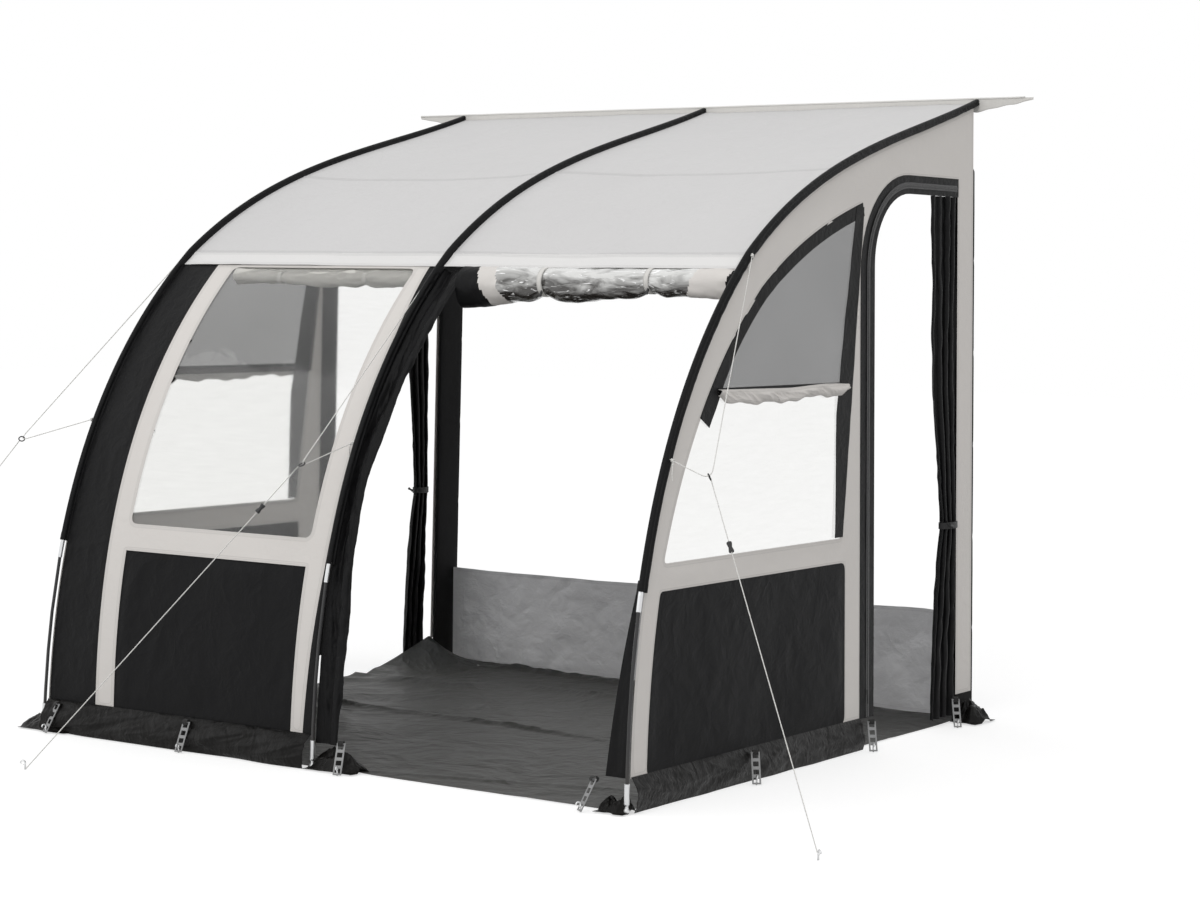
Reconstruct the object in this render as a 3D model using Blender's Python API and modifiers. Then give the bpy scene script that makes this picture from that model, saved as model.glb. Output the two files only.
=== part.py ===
"""Pole awning for a caravan: three arched poles in black sleeves, two roof bays, a closed and an
open front bay, two side walls with a window and a door each, guy ropes, a groundsheet and a
draught skirt. Metres, +Z up, the front faces -Y and the caravan side +Y. The origin is on the
ground in the middle of the floor."""

import math

import bmesh
import bpy
from mathutils import Matrix, Vector

# Whole awning. "Out" is measured from the caravan's wall towards the front, "height" from the ground
DEPTH = 2.40
RAIL_HEIGHT = 2.36
REAR_HALF_WIDTH = 1.265
FRONT_SPREAD = 0.020
FRONT_HALF_WIDTH = REAR_HALF_WIDTH + FRONT_SPREAD
TOP_LEAN = 0.039
TOP_HALF_WIDTH = REAR_HALF_WIDTH - TOP_LEAN

# Arch line: the outer line of the sleeves, a bowed roof stretch and a bowed leg meeting at the elbow
ELBOW_OUT = 1.67
ELBOW_DROP = 0.60
ELBOW_HEIGHT = RAIL_HEIGHT - ELBOW_DROP
ROOF_BOW = 0.081
LEG_BOW = 0.214
ROOF_SKEW_SHARE = -0.667
LEG_SKEW_SHARE = 0.118

# Cloth, seams and the clearance that touching pieces keep
CLOTH = 0.0012
PANEL_CLOTH = 0.0024
GAP = 0.0004

# Poles, the steel leg tube and the foot that the lower leg stands in
POLE_RADIUS = 0.0063
TUBE_WALL = 0.0014
TUBE_RADIUS = POLE_RADIUS + GAP + TUBE_WALL
SOCKET_DEPTH = 0.05
ROOF_SOCKET_OUT = 1.45
SLEEVE_END_HEIGHT = 0.69
TUBE_END_HEIGHT = 0.625
FERRULE_RADIUS = 0.0090
FERRULE_LENGTH = 0.085
FERRULE_SOCKET = 0.030
BALL_RADIUS = 0.0105
NECK_RADIUS = 0.0055
BALL_TOP_ANGLE = math.radians(52)
BALL_BASE_ANGLE = math.radians(-66)

# Pole sleeve: the crest lies on the pole, the sides fall to the seams with roof and wall
SLEEVE_HALF = 0.0135
SLEEVE_DEPTH = 0.028
SLEEVE_TIP_HALF = 0.0115
SLEEVE_TIP_DEPTH = 0.024
TAPER_OUT = 0.42
# The crest's arc has straight facets, and its radius keeps their middles clear of the tube
CREST_SPREAD_SHARE = 0.9
CREST_SPREAD = math.pi * CREST_SPREAD_SHARE
CREST_STEPS = 6
CREST_RADIUS = (TUBE_RADIUS + 2 * GAP + CLOTH) / math.cos(CREST_SPREAD / CREST_STEPS / 2)
CORE_DROP = CREST_RADIUS
ARCH_STEPS = 28
NORMAL_STEP_SHARE = 0.002
CLOTH_SET_SHARE = 0.75

# Rail strip with its round bead, which slides into the caravan's awning rail
STRIP_HEIGHT = 0.055
STRIP_TAIL = 0.235
STRIP_TIP_HEIGHT = 0.012
BEAD_RADIUS = 0.0035

# Roof
HEM_DROP = 0.06
HEM_HEIGHT = ELBOW_HEIGHT - HEM_DROP
ROOF_SAG = 0.022

# Front, closed bay on the left: black edge strip, pale frame, window, dark lower panel, mud flap
PANEL_BOTTOM = 0.11
EDGE_STRIP_TOP_WIDTH = 0.185
EDGE_STRIP_LOW_WIDTH = 0.245
FRAME_WIDTH = 0.09
FRAME_INNER_WIDTH = 0.11
FRONT_SILL = 0.765
SILL_BAND = 0.095
CURTAIN_RADIUS = 0.030
CURTAIN_DROP = 0.038
CURTAIN_END = 0.012
CURTAIN_PINCH_SHARE = 0.10
CURTAIN_TIES = 2

# Front, open bay on the right: gathered black edge, rolled-up panel, narrow black strip
GATHER_WIDTH = 0.084
GATHER_DEPTH = 0.040
GATHER_FOLDS = 4
GATHER_RIPPLE_SHARE = 0.14
GATHER_WAIST_SHARE = 0.30
ROLL_LARGE_RADIUS = 0.074
ROLL_SMALL_RADIUS = 0.050
ROLL_TAPER_SHARE = 0.9
ROLL_TAPER_POWER = 0.7
ROLL_SWELL_SHARE = 0.05
ROLL_TIE_WAIST = 0.007
ROLL_TIE_SPREAD = 0.06
ROLL_TIE_SPACING = 0.44
RIGHT_STRIP_TOP_WIDTH = 0.010
RIGHT_STRIP_LOW_WIDTH = 0.075
RIGHT_STRIP_LAP = 0.03

# Side walls
REAR_SET = 0.03
WINDOW_LOW_INSET = 0.115
WINDOW_TOP_INSET = 0.185
WINDOW_REAR_TOP_OUT = 0.89
WINDOW_REAR_LOW_OUT = 1.04
WALL_SILL = 0.765
MESH_LOWER_EDGE = 1.28
LOWER_PANEL_TOP = 0.672
LOWER_PANEL_REAR_OUT = 1.02
LOWER_PANEL_INSET = 0.125

# Door in each side wall: black border, opening, and the door cloth tied back at its rear edge
DOOR_HINGE_OUT = 0.157
DOOR_JAMB_OUT = 0.90
DOOR_TOP_DROP = 0.315
DOOR_TOP = RAIL_HEIGHT - DOOR_TOP_DROP
DOOR_CORNER_RADIUS = 0.36
BORDER_WIDTH = 0.098
BORDER_TOP_WIDTH = 0.062
DOOR_CLOTH_WIDTH = 0.235
DOOR_CLOTH_DEPTH = 0.060
DOOR_CLOTH_BOTTOM = 0.035
DOOR_TIE_HEIGHT = 0.78
DOOR_TIE_SPREAD = 0.28
DOOR_TIE_WAIST = 0.085
DOOR_CLOTH_FOLDS = 9
DOOR_CLOTH_RIPPLE_SHARE = 0.09

# Zip slider on the door border
ZIP_BODY_WIDTH = 0.011
ZIP_BODY_LENGTH = 0.016
ZIP_BODY_DEPTH = 0.006
ZIP_PULL_WIDTH = 0.007
ZIP_PULL_LENGTH = 0.034
ZIP_PULL_DEPTH = 0.002
ZIP_HEIGHT = 0.16

# Foam pad down the rear edge, groundsheet, draught skirt
PAD_WIDTH = 0.15
PAD_DEPTH = 0.022
PAD_TOP_DROP = 0.26
PAD_HEIGHT = RAIL_HEIGHT - PAD_TOP_DROP
SHEET_THICKNESS = 0.003
SHEET_FRONT_MARGIN = 0.012
SKIRT_HEIGHT = 0.41
SKIRT_OUT = 0.032
SKIRT_WAVE = 0.011
SKIRT_WAVE_LENGTH = 0.31

# Guy ropes
ROPE_RADIUS = 0.00175
RING_RADIUS = 0.011
RING_WIRE = 0.0024
ROPE_BEND = 0.044
RING_CLEARANCE = 0.0010
RUNNER_LENGTH = 0.034
RUNNER_RADIUS = 0.0085
RUNNER_WAIST = 0.0060
RUNNER_RIM = 0.005

# Places of the ropes in their arch's plane: (out, height, sideways towards the left)
GUY_ROUTES = {
    "right": {"side": 1, "high": ELBOW_HEIGHT, "low": 1.10, "ring": (2.155, 1.034, -0.162),
              "peg": (2.596, 0.0, -0.800), "runner_at": 0.246},
    "middle": {"side": 0, "high": ELBOW_HEIGHT, "low": 1.10, "ring": (2.424, 1.020, 0.034),
               "peg": (2.991, 0.0, 0.739), "runner_at": 0.190},
    "left": {"side": -1, "high": ELBOW_HEIGHT, "low": 1.13, "ring": (2.155, 1.020, 0.403),
             "peg": (2.680, 0.0, 0.946), "runner_at": 0.210},
}

SIDES = {"left": -1, "middle": 0, "right": 1}
BAYS = {"left": (-1, 0), "right": (0, 1)}


# Scene set-up

def clear_scene():
    for obj in list(bpy.data.objects):
        bpy.data.objects.remove(obj, do_unlink=True)


def new_collection(name):
    collection = bpy.data.collections.new(name)
    bpy.context.scene.collection.children.link(collection)
    return collection


def finish(name, colour, roughness, metallic=0.0, alpha=1.0):
    material = bpy.data.materials.new(name)
    material.use_nodes = True
    shader = material.node_tree.nodes["Principled BSDF"]
    shader.inputs["Base Color"].default_value = (*colour, 1.0)
    shader.inputs["Roughness"].default_value = roughness
    shader.inputs["Metallic"].default_value = metallic
    shader.inputs["Alpha"].default_value = alpha
    material.diffuse_color = (*colour, alpha)
    return material


def make_finishes():
    return {
        "roof_cloth": finish("roof_cloth", (0.62, 0.615, 0.615), 0.75),
        "pale_cloth": finish("pale_cloth", (0.56, 0.53, 0.51), 0.78),
        "dark_cloth": finish("dark_cloth", (0.022, 0.022, 0.023), 0.72),
        "sleeve_cloth": finish("sleeve_cloth", (0.015, 0.015, 0.016), 0.65),
        "flap": finish("flap", (0.012, 0.011, 0.010), 0.32),
        "mesh": finish("mesh", (0.10, 0.10, 0.10), 0.8, 0.0, 0.6),
        "foil": finish("foil", (0.75, 0.77, 0.78), 0.08, 0.0, 0.35),
        "curtain": finish("curtain", (0.40, 0.40, 0.39), 0.8),
        "fibreglass": finish("fibreglass", (0.02, 0.02, 0.022), 0.4),
        "steel": finish("steel", (0.55, 0.55, 0.56), 0.28, 1.0),
        "rope": finish("rope", (0.80, 0.80, 0.77), 0.7),
        "black_plastic": finish("black_plastic", (0.02, 0.02, 0.02), 0.45),
        "foam_pad": finish("foam_pad", (0.018, 0.018, 0.019), 0.85),
        "groundsheet": finish("groundsheet", (0.062, 0.064, 0.063), 0.6),
        "skirt": finish("skirt", (0.26, 0.26, 0.265), 0.45),
        "bead": finish("bead", (0.66, 0.66, 0.65), 0.6),
    }


# Arch geometry, in the plane of one arch: X is out, Y is height

def mix(low, high, share):
    return low + (high - low) * share


def arch_point(station):
    """Point of the arch line: station 0 is the rail, 1 the elbow, 2 the ground."""
    rail = Vector((0, RAIL_HEIGHT))
    elbow = Vector((ELBOW_OUT, ELBOW_HEIGHT))
    foot = Vector((DEPTH, 0))
    if station <= 1:
        start, end, bow, skew, along = rail, elbow, ROOF_BOW, ROOF_SKEW_SHARE, station
    else:
        start, end, bow, skew, along = elbow, foot, LEG_BOW, LEG_SKEW_SHARE, station - 1
    chord = end - start
    outward = Vector((-chord.y, chord.x)).normalized()
    rise = 4 * bow * along * (1 - along) * (1 + skew * (1 - 2 * along))
    return start + chord * along + outward * rise


def arch_normal(station):
    step = NORMAL_STEP_SHARE
    run = arch_point(min(station + step, 2)) - arch_point(max(station - step, 0))
    return Vector((-run.y, run.x)).normalized()


def arch_offset(station, drop):
    return arch_point(station) - arch_normal(station) * drop


def solve(measure, target, low=0.0, high=2.0):
    """Station where a measure that falls from low to high meets the target."""
    for _ in range(40):
        middle = (low + high) / 2
        if measure(middle) > target:
            low = middle
        else:
            high = middle
    return (low + high) / 2


def station_at_height(height, drop=0.0):
    return solve(lambda station: arch_offset(station, drop).y, height)


def station_at_out(out, drop=0.0):
    return solve(lambda station: -arch_offset(station, drop).x, -out)


def sleeve_size(station):
    """Half width and depth of the sleeve, which tapers towards the rail."""
    share = min(arch_point(station).x / TAPER_OUT, 1)
    return mix(SLEEVE_TIP_HALF, SLEEVE_HALF, share), mix(SLEEVE_TIP_DEPTH, SLEEVE_DEPTH, share)


def cloth_drop(station):
    """How far the roof and front cloth lies under the arch line."""
    return sleeve_size(station)[1] * CLOTH_SET_SHARE


def first_station(drop):
    """Station nearest the rail whose point, that far under the arch line, clears the rail strip."""
    return solve(lambda s: -arch_offset(s, drop(s)).x, -(PANEL_CLOTH + GAP))


def stations_between(first, last, count):
    return [mix(first, last, i / count) for i in range(count + 1)]


def arch_matrix(side):
    """Frame of an arch plane: X runs out from the caravan, Y up, Z towards the left."""
    origin = Vector((side * REAR_HALF_WIDTH, DEPTH / 2, 0))
    out = Vector((side * (FRONT_HALF_WIDTH - REAR_HALF_WIDTH), -DEPTH, 0)).normalized()
    lean = Vector((side * (TOP_HALF_WIDTH - REAR_HALF_WIDTH), 0, RAIL_HEIGHT))
    across = out.cross(lean).normalized()
    up = across.cross(out)
    return Matrix.Translation(origin) @ Matrix((out, up, across)).transposed().to_4x4()


def in_world(side, out, height, sideways=0.0):
    return arch_matrix(side) @ Vector((out, height, sideways))


# Mesh and curve makers

def link(obj, finishes, material):
    parts.objects.link(obj)
    obj.data.materials.append(finishes[material])
    return obj


def hold_by(obj, parent):
    obj.parent = parent
    return obj


def arch_frame(name, side):
    empty = bpy.data.objects.new(name, None)
    empty.empty_display_size = SLEEVE_DEPTH
    empty.matrix_world = arch_matrix(side)
    parts.objects.link(empty)
    return empty


def tube(name, points, radius, resolution=2):
    """Round bar along straight runs between the points."""
    curve = bpy.data.curves.new(name, "CURVE")
    curve.dimensions = "3D"
    curve.bevel_depth = radius
    curve.bevel_resolution = resolution
    curve.use_fill_caps = True
    spline = curve.splines.new("POLY")
    spline.points.add(len(points) - 1)
    for spot, point in zip(spline.points, points):
        spot.co = (*point, 1)
    return bpy.data.objects.new(name, curve)


def plate(name, outlines, thickness, centre=0.0):
    """Flat piece in the XY plane; outlines after the first are holes."""
    curve = bpy.data.curves.new(name, "CURVE")
    curve.dimensions = "2D"
    curve.fill_mode = "BOTH"
    curve.extrude = thickness / 2
    for outline in outlines:
        spline = curve.splines.new("POLY")
        spline.points.add(len(outline) - 1)
        spline.use_cyclic_u = True
        for spot, point in zip(spline.points, outline):
            spot.co = (point[0], point[1], 0, 1)
    obj = bpy.data.objects.new(name, curve)
    obj.location.z = centre
    return obj


def surface(name, rows, closed=False, capped=False, skip=()):
    """Loft through rows of points. Closed rows make a tube; skip names cells left open."""
    mesh = bpy.data.meshes.new(name)
    shell = bmesh.new()
    verts = [[shell.verts.new(point) for point in row] for row in rows]
    across = len(rows[0])
    for i in range(len(rows) - 1):
        for j in range(across if closed else across - 1):
            if (i, j) in skip:
                continue
            k = (j + 1) % across
            shell.faces.new((verts[i][j], verts[i][k], verts[i + 1][k], verts[i + 1][j]))
    if capped:
        shell.faces.new(verts[0])
        shell.faces.new(list(reversed(verts[-1])))
    bmesh.ops.delete(shell, geom=[v for v in shell.verts if not v.link_faces], context="VERTS")
    if capped:
        bmesh.ops.recalc_face_normals(shell, faces=shell.faces)
    shell.to_mesh(mesh)
    shell.free()
    mesh.shade_smooth()
    return bpy.data.objects.new(name, mesh)


def thicken(obj, thickness, offset=-1.0):
    wall = obj.modifiers.new("thickness", "SOLIDIFY")
    wall.thickness = thickness
    wall.offset = offset
    return obj


def face_up(obj, direction):
    """Turns the faces over where they point against the direction."""
    total = Vector((0, 0, 0))
    for face in obj.data.polygons:
        total += face.normal * face.area
    if total.dot(direction) < 0:
        obj.data.flip_normals()
    return obj


def turned(name, profile, steps):
    """Profile of (radius, height) points, outer side top to bottom, turned about Z."""
    mesh = bpy.data.meshes.new(name)
    mesh.from_pydata([(r, 0, z) for r, z in profile], [(i, i + 1) for i in range(len(profile) - 1)], [])
    obj = bpy.data.objects.new(name, mesh)
    screw = obj.modifiers.new("turn", "SCREW")
    screw.steps = steps
    screw.render_steps = steps
    screw.use_merge_vertices = True
    screw.merge_threshold = GAP / 4
    screw.use_smooth_shade = True
    return obj


def closed_profile(points):
    """A ring's section: the last point joins the first."""
    return points + [points[0]]


def corner_arc(centre, radius, start, end, steps):
    return [
        (centre[0] + radius * math.cos(mix(start, end, i / steps)),
         centre[1] + radius * math.sin(mix(start, end, i / steps)))
        for i in range(steps + 1)
    ]


def fluted_ring(width, depth, folds, ripple, points_per_fold=4):
    """Section of gathered cloth: an oval whose edge runs in and out with the folds."""
    ring = []
    count = folds * points_per_fold
    for i in range(count):
        angle = 2 * math.pi * i / count
        swell = 1 + ripple * math.cos(folds * angle)
        ring.append((width / 2 * swell * math.cos(angle), depth / 2 * swell * math.sin(angle)))
    return ring


# Poles and sleeves

def leg_foot_line():
    """Top of the ferrule and centre of the ball, on the core line of the leg."""
    ball = arch_offset(station_at_height(BALL_RADIUS, CORE_DROP), CORE_DROP)
    top_height = BALL_RADIUS + FERRULE_LENGTH
    top = arch_offset(station_at_height(top_height, CORE_DROP), CORE_DROP)
    return top, ball


def core_points(stations):
    return [(*arch_offset(station, CORE_DROP), 0) for station in stations]


def roof_socket():
    """Stations of the leg tube's upper mouth and of the roof pole's end inside it."""
    outs = (ROOF_SOCKET_OUT, ROOF_SOCKET_OUT + SOCKET_DEPTH)
    return [station_at_out(out, CORE_DROP) for out in outs]


def leg_socket():
    """Stations of the lower leg's end inside the leg tube and of the tube's lower mouth."""
    heights = (TUBE_END_HEIGHT + SOCKET_DEPTH, TUBE_END_HEIGHT)
    return [station_at_height(height, CORE_DROP) for height in heights]


def shared_stations(first, last):
    """Stations that pole, tube and sleeve have in common, so that they run parallel."""
    sockets = roof_socket() + leg_socket()
    apart = 1 / ARCH_STEPS
    regular = [
        station for station in stations_between(0, 2, ARCH_STEPS)
        if all(abs(station - socket) > apart for socket in sockets)
    ]
    inner = [station for station in sorted(regular + sockets) if first < station < last]
    return [first] + inner + [last]


def make_roof_pole(name, frame, finishes):
    start = station_at_out(PANEL_CLOTH + GAP + POLE_RADIUS, CORE_DROP)
    mouth, end = roof_socket()
    points = core_points(shared_stations(start, end))
    pole = tube("roof_pole_" + name, points, POLE_RADIUS)
    return hold_by(link(pole, finishes, "fibreglass"), frame)


def make_leg_tube(name, frame, finishes):
    """Steel tube bent at the elbow; the roof pole and the lower leg plug into its ends."""
    upper_mouth, pole_end = roof_socket()
    leg_end, lower_mouth = leg_socket()
    sides = 12
    rows = []
    for station in shared_stations(upper_mouth, lower_mouth):
        centre = arch_offset(station, CORE_DROP)
        normal = arch_normal(station)
        row = []
        for i in range(sides):
            angle = 2 * math.pi * i / sides
            spot = centre + normal * (TUBE_RADIUS * math.cos(angle))
            row.append((spot.x, spot.y, TUBE_RADIUS * math.sin(angle)))
        rows.append(row)
    leg = surface("leg_tube_" + name, rows, closed=True)
    point_outwards(leg, rows)
    thicken(leg, TUBE_WALL)
    return hold_by(link(leg, finishes, "steel"), frame)


def point_outwards(obj, rows):
    """Turns an open tube's faces away from its middle line."""
    centres = [sum((Vector(p) for p in row), Vector()) / len(row) for row in rows]
    total = 0.0
    for face in obj.data.polygons:
        near = min(centres, key=lambda c: (c - face.center).length)
        total += face.normal.dot(face.center - near)
    if total < 0:
        obj.data.flip_normals()


def make_lower_leg(name, frame, finishes):
    top, ball = leg_foot_line()
    down = (ball - top).normalized()
    socket_top, mouth = leg_socket()
    ferrule_top = station_at_height(BALL_RADIUS + FERRULE_LENGTH, CORE_DROP)
    points = core_points(shared_stations(socket_top, ferrule_top))
    tip = top + down * FERRULE_SOCKET
    points.append((tip.x, tip.y, 0))
    leg = tube("lower_leg_" + name, points, POLE_RADIUS - GAP)
    return hold_by(link(leg, finishes, "fibreglass"), frame)


def make_foot(name, frame, finishes):
    """Steel ferrule with a ball end, cupped over the lower leg."""
    top, ball = leg_foot_line()
    length = (top - ball).length
    bore = POLE_RADIUS
    floor = length - FERRULE_SOCKET - GAP
    neck = BALL_RADIUS + NECK_RADIUS
    profile = [(0, floor), (bore, floor), (bore, length)]
    profile += [(FERRULE_RADIUS, length), (FERRULE_RADIUS, neck + NECK_RADIUS)]
    profile += [(NECK_RADIUS, neck)]
    for i in range(5):
        angle = mix(BALL_TOP_ANGLE, BALL_BASE_ANGLE, i / 4)
        profile.append((BALL_RADIUS * math.cos(angle), BALL_RADIUS * math.sin(angle)))
    profile.append((0, BALL_RADIUS * math.sin(BALL_BASE_ANGLE)))
    foot = turned("foot_" + name, profile, 14)
    axis = (top - ball).to_3d()
    foot.matrix_basis = Matrix.Translation(ball.to_3d()) @ axis.to_track_quat("Z", "Y").to_matrix().to_4x4()
    return hold_by(link(foot, finishes, "steel"), frame)


def sleeve_ring(station):
    """Section of the sleeve: (sideways, drop) points round the pole's crest and down to the seams."""
    half, depth = sleeve_size(station)
    crest = CREST_RADIUS
    ring = [(-half, depth), (-half, depth * CLOTH_SET_SHARE - CLOTH - GAP)]
    for i in range(CREST_STEPS + 1):
        angle = (math.pi + CREST_SPREAD) / 2 - CREST_SPREAD * i / CREST_STEPS
        ring.append((crest * math.cos(angle), crest - crest * math.sin(angle)))
    ring += [(half, depth * CLOTH_SET_SHARE - CLOTH - GAP), (half, depth), (0, depth)]
    return ring


def make_sleeve(name, frame, finishes):
    start = first_station(lambda s: sleeve_size(s)[1])
    end = station_at_height(SLEEVE_END_HEIGHT)
    rows = []
    for station in shared_stations(start, end):
        point = arch_point(station)
        normal = arch_normal(station)
        row = []
        for sideways, drop in sleeve_ring(station):
            spot = point - normal * drop
            row.append((spot.x, spot.y, sideways))
        rows.append(row)
    sleeve = surface("sleeve_" + name, rows, closed=True)
    point_outwards(sleeve, rows)
    thicken(sleeve, CLOTH)
    return hold_by(link(sleeve, finishes, "sleeve_cloth"), frame)


# Cloth stretched between two arches

def bay_point(bay, station, distance, drop):
    """Point of a bay's cloth at a distance from its left arch, or from its right one if negative."""
    spot = arch_offset(station, drop)
    left = in_world(bay[0], spot.x, spot.y)
    right = in_world(bay[1], spot.x, spot.y)
    span = (right - left).length
    if distance < 0:
        distance += span
    return left + (right - left) * (distance / span)


def seam(station):
    """Distance from an arch plane to the cloth sewn along its sleeve."""
    return sleeve_size(station)[0] + GAP


def bay_sheet(name, bay, stations, edges, finishes, material, skip=(), extra=0.0):
    rows = []
    for station in stations:
        drop = cloth_drop(station) + extra
        rows.append([bay_point(bay, station, edge(station), drop) for edge in edges])
    sheet = surface(name, rows, skip=skip)
    face_up(sheet, Vector((0, -1, 1)))
    thicken(sheet, CLOTH)
    return link(sheet, finishes, material)


def make_roof(name, finishes):
    bay = BAYS[name]
    first = first_station(lambda s: cloth_drop(s) + CLOTH)
    last = station_at_height(HEM_HEIGHT, cloth_drop(1))
    count, across = 13, 6
    rows = []
    for i, station in enumerate(stations_between(first, last, count)):
        low, high = seam(station), -seam(station)
        start = bay_point(bay, station, low, cloth_drop(station))
        end = bay_point(bay, station, high, cloth_drop(station))
        fall = 4 * ROOF_SAG * (i / count) * (1 - i / count)
        normal = arch_normal(station)
        row = []
        for j in range(across + 1):
            share = j / across
            spot = start.lerp(end, share)
            spot -= Vector((0, -normal.x, normal.y)) * (fall * 4 * share * (1 - share))
            row.append(spot)
        rows.append(row)
    roof = surface("roof_" + name, rows)
    face_up(roof, Vector((0, 0, 1)))
    thicken(roof, CLOTH)
    return link(roof, finishes, "roof_cloth")


def edge_strip_edge(station):
    """Inner edge of the black strip, from the left arch; it widens downwards."""
    share = (HEM_HEIGHT - arch_point(station).y) / (HEM_HEIGHT - PANEL_BOTTOM)
    return mix(EDGE_STRIP_TOP_WIDTH, EDGE_STRIP_LOW_WIDTH, share)


def front_stations(heights):
    return [station_at_height(height, cloth_drop(1)) for height in heights]


def heights_between(top, bottom, count):
    return [mix(top, bottom, i / count) for i in range(count + 1)]


def front_rows():
    """Heights of the front frame's rows: window, sill band, lower panel."""
    top = HEM_HEIGHT - GAP
    curtain = top - CURTAIN_DROP
    window = [top] + heights_between(curtain, FRONT_SILL, 8)
    lower = heights_between(FRONT_SILL - SILL_BAND, PANEL_BOTTOM, 4)
    return window, lower


def far_seam(station):
    return -seam(station)


def frame_left(station):
    """Outer edge of the pale frame, beside the black strip."""
    return edge_strip_edge(station) + GAP


def window_left(station):
    return frame_left(station) + FRAME_WIDTH


def window_right(station):
    return -FRAME_INNER_WIDTH


def make_front(finishes):
    bay = BAYS["left"]
    window, lower = front_rows()
    edges = [frame_left, window_left, window_right, far_seam]
    rows = front_stations(window + lower)
    holes = [(i, 1) for i in range(len(window) - 1)]
    holes += [(len(window) + i, 1) for i in range(len(lower) - 1)]
    bay_sheet("front_frame", bay, rows, edges, finishes, "pale_cloth", skip=holes)
    strip = [seam, edge_strip_edge]
    bay_sheet("front_edge_strip", bay, rows, strip, finishes, "dark_cloth")
    inner = [lambda station: window_left(station) + GAP, lambda station: window_right(station) - GAP]
    foil = front_stations(window[:-1] + [window[-1] + GAP])
    bay_sheet("front_window", bay, foil, inner, finishes, "foil")
    panel = front_stations([lower[0] - GAP] + lower[1:])
    bay_sheet("front_lower_panel", bay, panel, inner, finishes, "dark_cloth")
    flap = front_stations([PANEL_BOTTOM - GAP, PANEL_BOTTOM / 2, CLOTH])
    bay_sheet("front_flap", bay, flap, [seam, far_seam], finishes, "flap")


def make_curtain(finishes):
    """Rolled curtain along the top of the front window, on its inner side."""
    bay = BAYS["left"]
    station = station_at_height(HEM_HEIGHT - GAP - CURTAIN_DROP, cloth_drop(1))
    drop = cloth_drop(1) + CLOTH + GAP + CURTAIN_RADIUS
    start = edge_strip_edge(station) + FRAME_WIDTH + CURTAIN_END
    rows = []
    count = 10
    span = (bay_point(bay, station, start, drop) - bay_point(bay, station, -FRAME_INNER_WIDTH, drop)).length
    for i in range(count + 1):
        centre = bay_point(bay, station, start + (span - CURTAIN_END) * i / count, drop)
        pinch = (1 + math.cos(2 * math.pi * CURTAIN_TIES * i / count)) / 2
        radius = CURTAIN_RADIUS * (1 - CURTAIN_PINCH_SHARE * pinch)
        rows.append(hanging_ring(centre, radius, arch_normal(station), CURTAIN_RADIUS - radius))
    curtain = surface("front_curtain", rows, closed=True, capped=True)
    return link(curtain, finishes, "curtain")


def hanging_ring(centre, radius, normal, shift):
    """Ring across X whose outermost point stays on the cloth when its radius changes."""
    outward = Vector((0, -normal.x, normal.y))
    along = Vector((0, -normal.y, -normal.x))
    ring = []
    sides = 12
    for i in range(sides):
        angle = 2 * math.pi * i / sides
        spot = centre + outward * (shift + radius * math.cos(angle)) + along * (radius * math.sin(angle))
        ring.append(spot)
    return ring


def make_front_gather(finishes):
    """Black cloth drawn together beside the middle arch, from the roof hem to the bottom."""
    bay = BAYS["right"]
    top = station_at_height(HEM_HEIGHT - CLOTH - GAP, cloth_drop(1))
    bottom = station_at_height(PANEL_BOTTOM, cloth_drop(1))
    count = 14
    rows = []
    for i, station in enumerate(stations_between(top, bottom, count)):
        width = GATHER_WIDTH * (1 - GATHER_WAIST_SHARE * math.sin(math.pi * i / count))
        middle = SLEEVE_HALF + GAP + width / 2 * (1 + GATHER_RIPPLE_SHARE)
        drop = cloth_drop(station) + GATHER_DEPTH / 2
        centre = bay_point(bay, station, middle, drop)
        normal = arch_normal(station)
        outward = Vector((0, -normal.x, normal.y))
        rows.append([
            centre - Vector((x, 0, 0)) + outward * y
            for x, y in fluted_ring(width, GATHER_DEPTH, GATHER_FOLDS, GATHER_RIPPLE_SHARE)
        ])
    gather = surface("front_gather", rows, closed=True, capped=True)
    return link(gather, finishes, "dark_cloth")


def roll_radius(along, length):
    """Radius of the rolled panel, drawn in where its two ties go round it."""
    taper = min(along / (length * ROLL_TAPER_SHARE), 1) ** ROLL_TAPER_POWER
    radius = mix(ROLL_LARGE_RADIUS, ROLL_SMALL_RADIUS, taper)
    for tie in (length / 2 - ROLL_TIE_SPACING / 2, length / 2 + ROLL_TIE_SPACING / 2):
        radius -= ROLL_TIE_WAIST * math.exp(-(((along - tie) / ROLL_TIE_SPREAD) ** 2))
    return radius


def make_front_roll(finishes):
    """Front panel rolled up and tied under the roof hem."""
    bay = BAYS["right"]
    station = station_at_height(HEM_HEIGHT, cloth_drop(1))
    start = SLEEVE_HALF + GATHER_WIDTH * (1 + GATHER_RIPPLE_SHARE) + 2 * GAP
    left = bay_point(bay, station, start, cloth_drop(1))
    right = bay_point(bay, station, -seam(1), cloth_drop(1))
    length = (right - left).length
    count, sides = 22, 14
    rows = []
    for i in range(count + 1):
        line = left.lerp(right, i / count)
        radius = roll_radius(length * i / count, length)
        centre = line - Vector((0, 0, radius + CLOTH + GAP))
        row = []
        for j in range(sides):
            angle = 2 * math.pi * j / sides + math.pi / 2
            swell = 1 - ROLL_SWELL_SHARE * (1 - math.cos(3 * (angle - math.pi / 2) + i))
            row.append(centre + Vector((0, math.cos(angle), math.sin(angle))) * (radius * swell))
        rows.append(row)
    roll = surface("front_roll", rows, closed=True, capped=True)
    return link(roll, finishes, "pale_cloth")


def right_strip_edge(station):
    """Free edge of the right strip, which widens from the sleeve's end to the bottom."""
    share = max(0.0, (SLEEVE_END_HEIGHT - arch_point(station).y) / (SLEEVE_END_HEIGHT - PANEL_BOTTOM))
    return far_seam(station) - mix(RIGHT_STRIP_TOP_WIDTH, RIGHT_STRIP_LOW_WIDTH, share)


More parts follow.
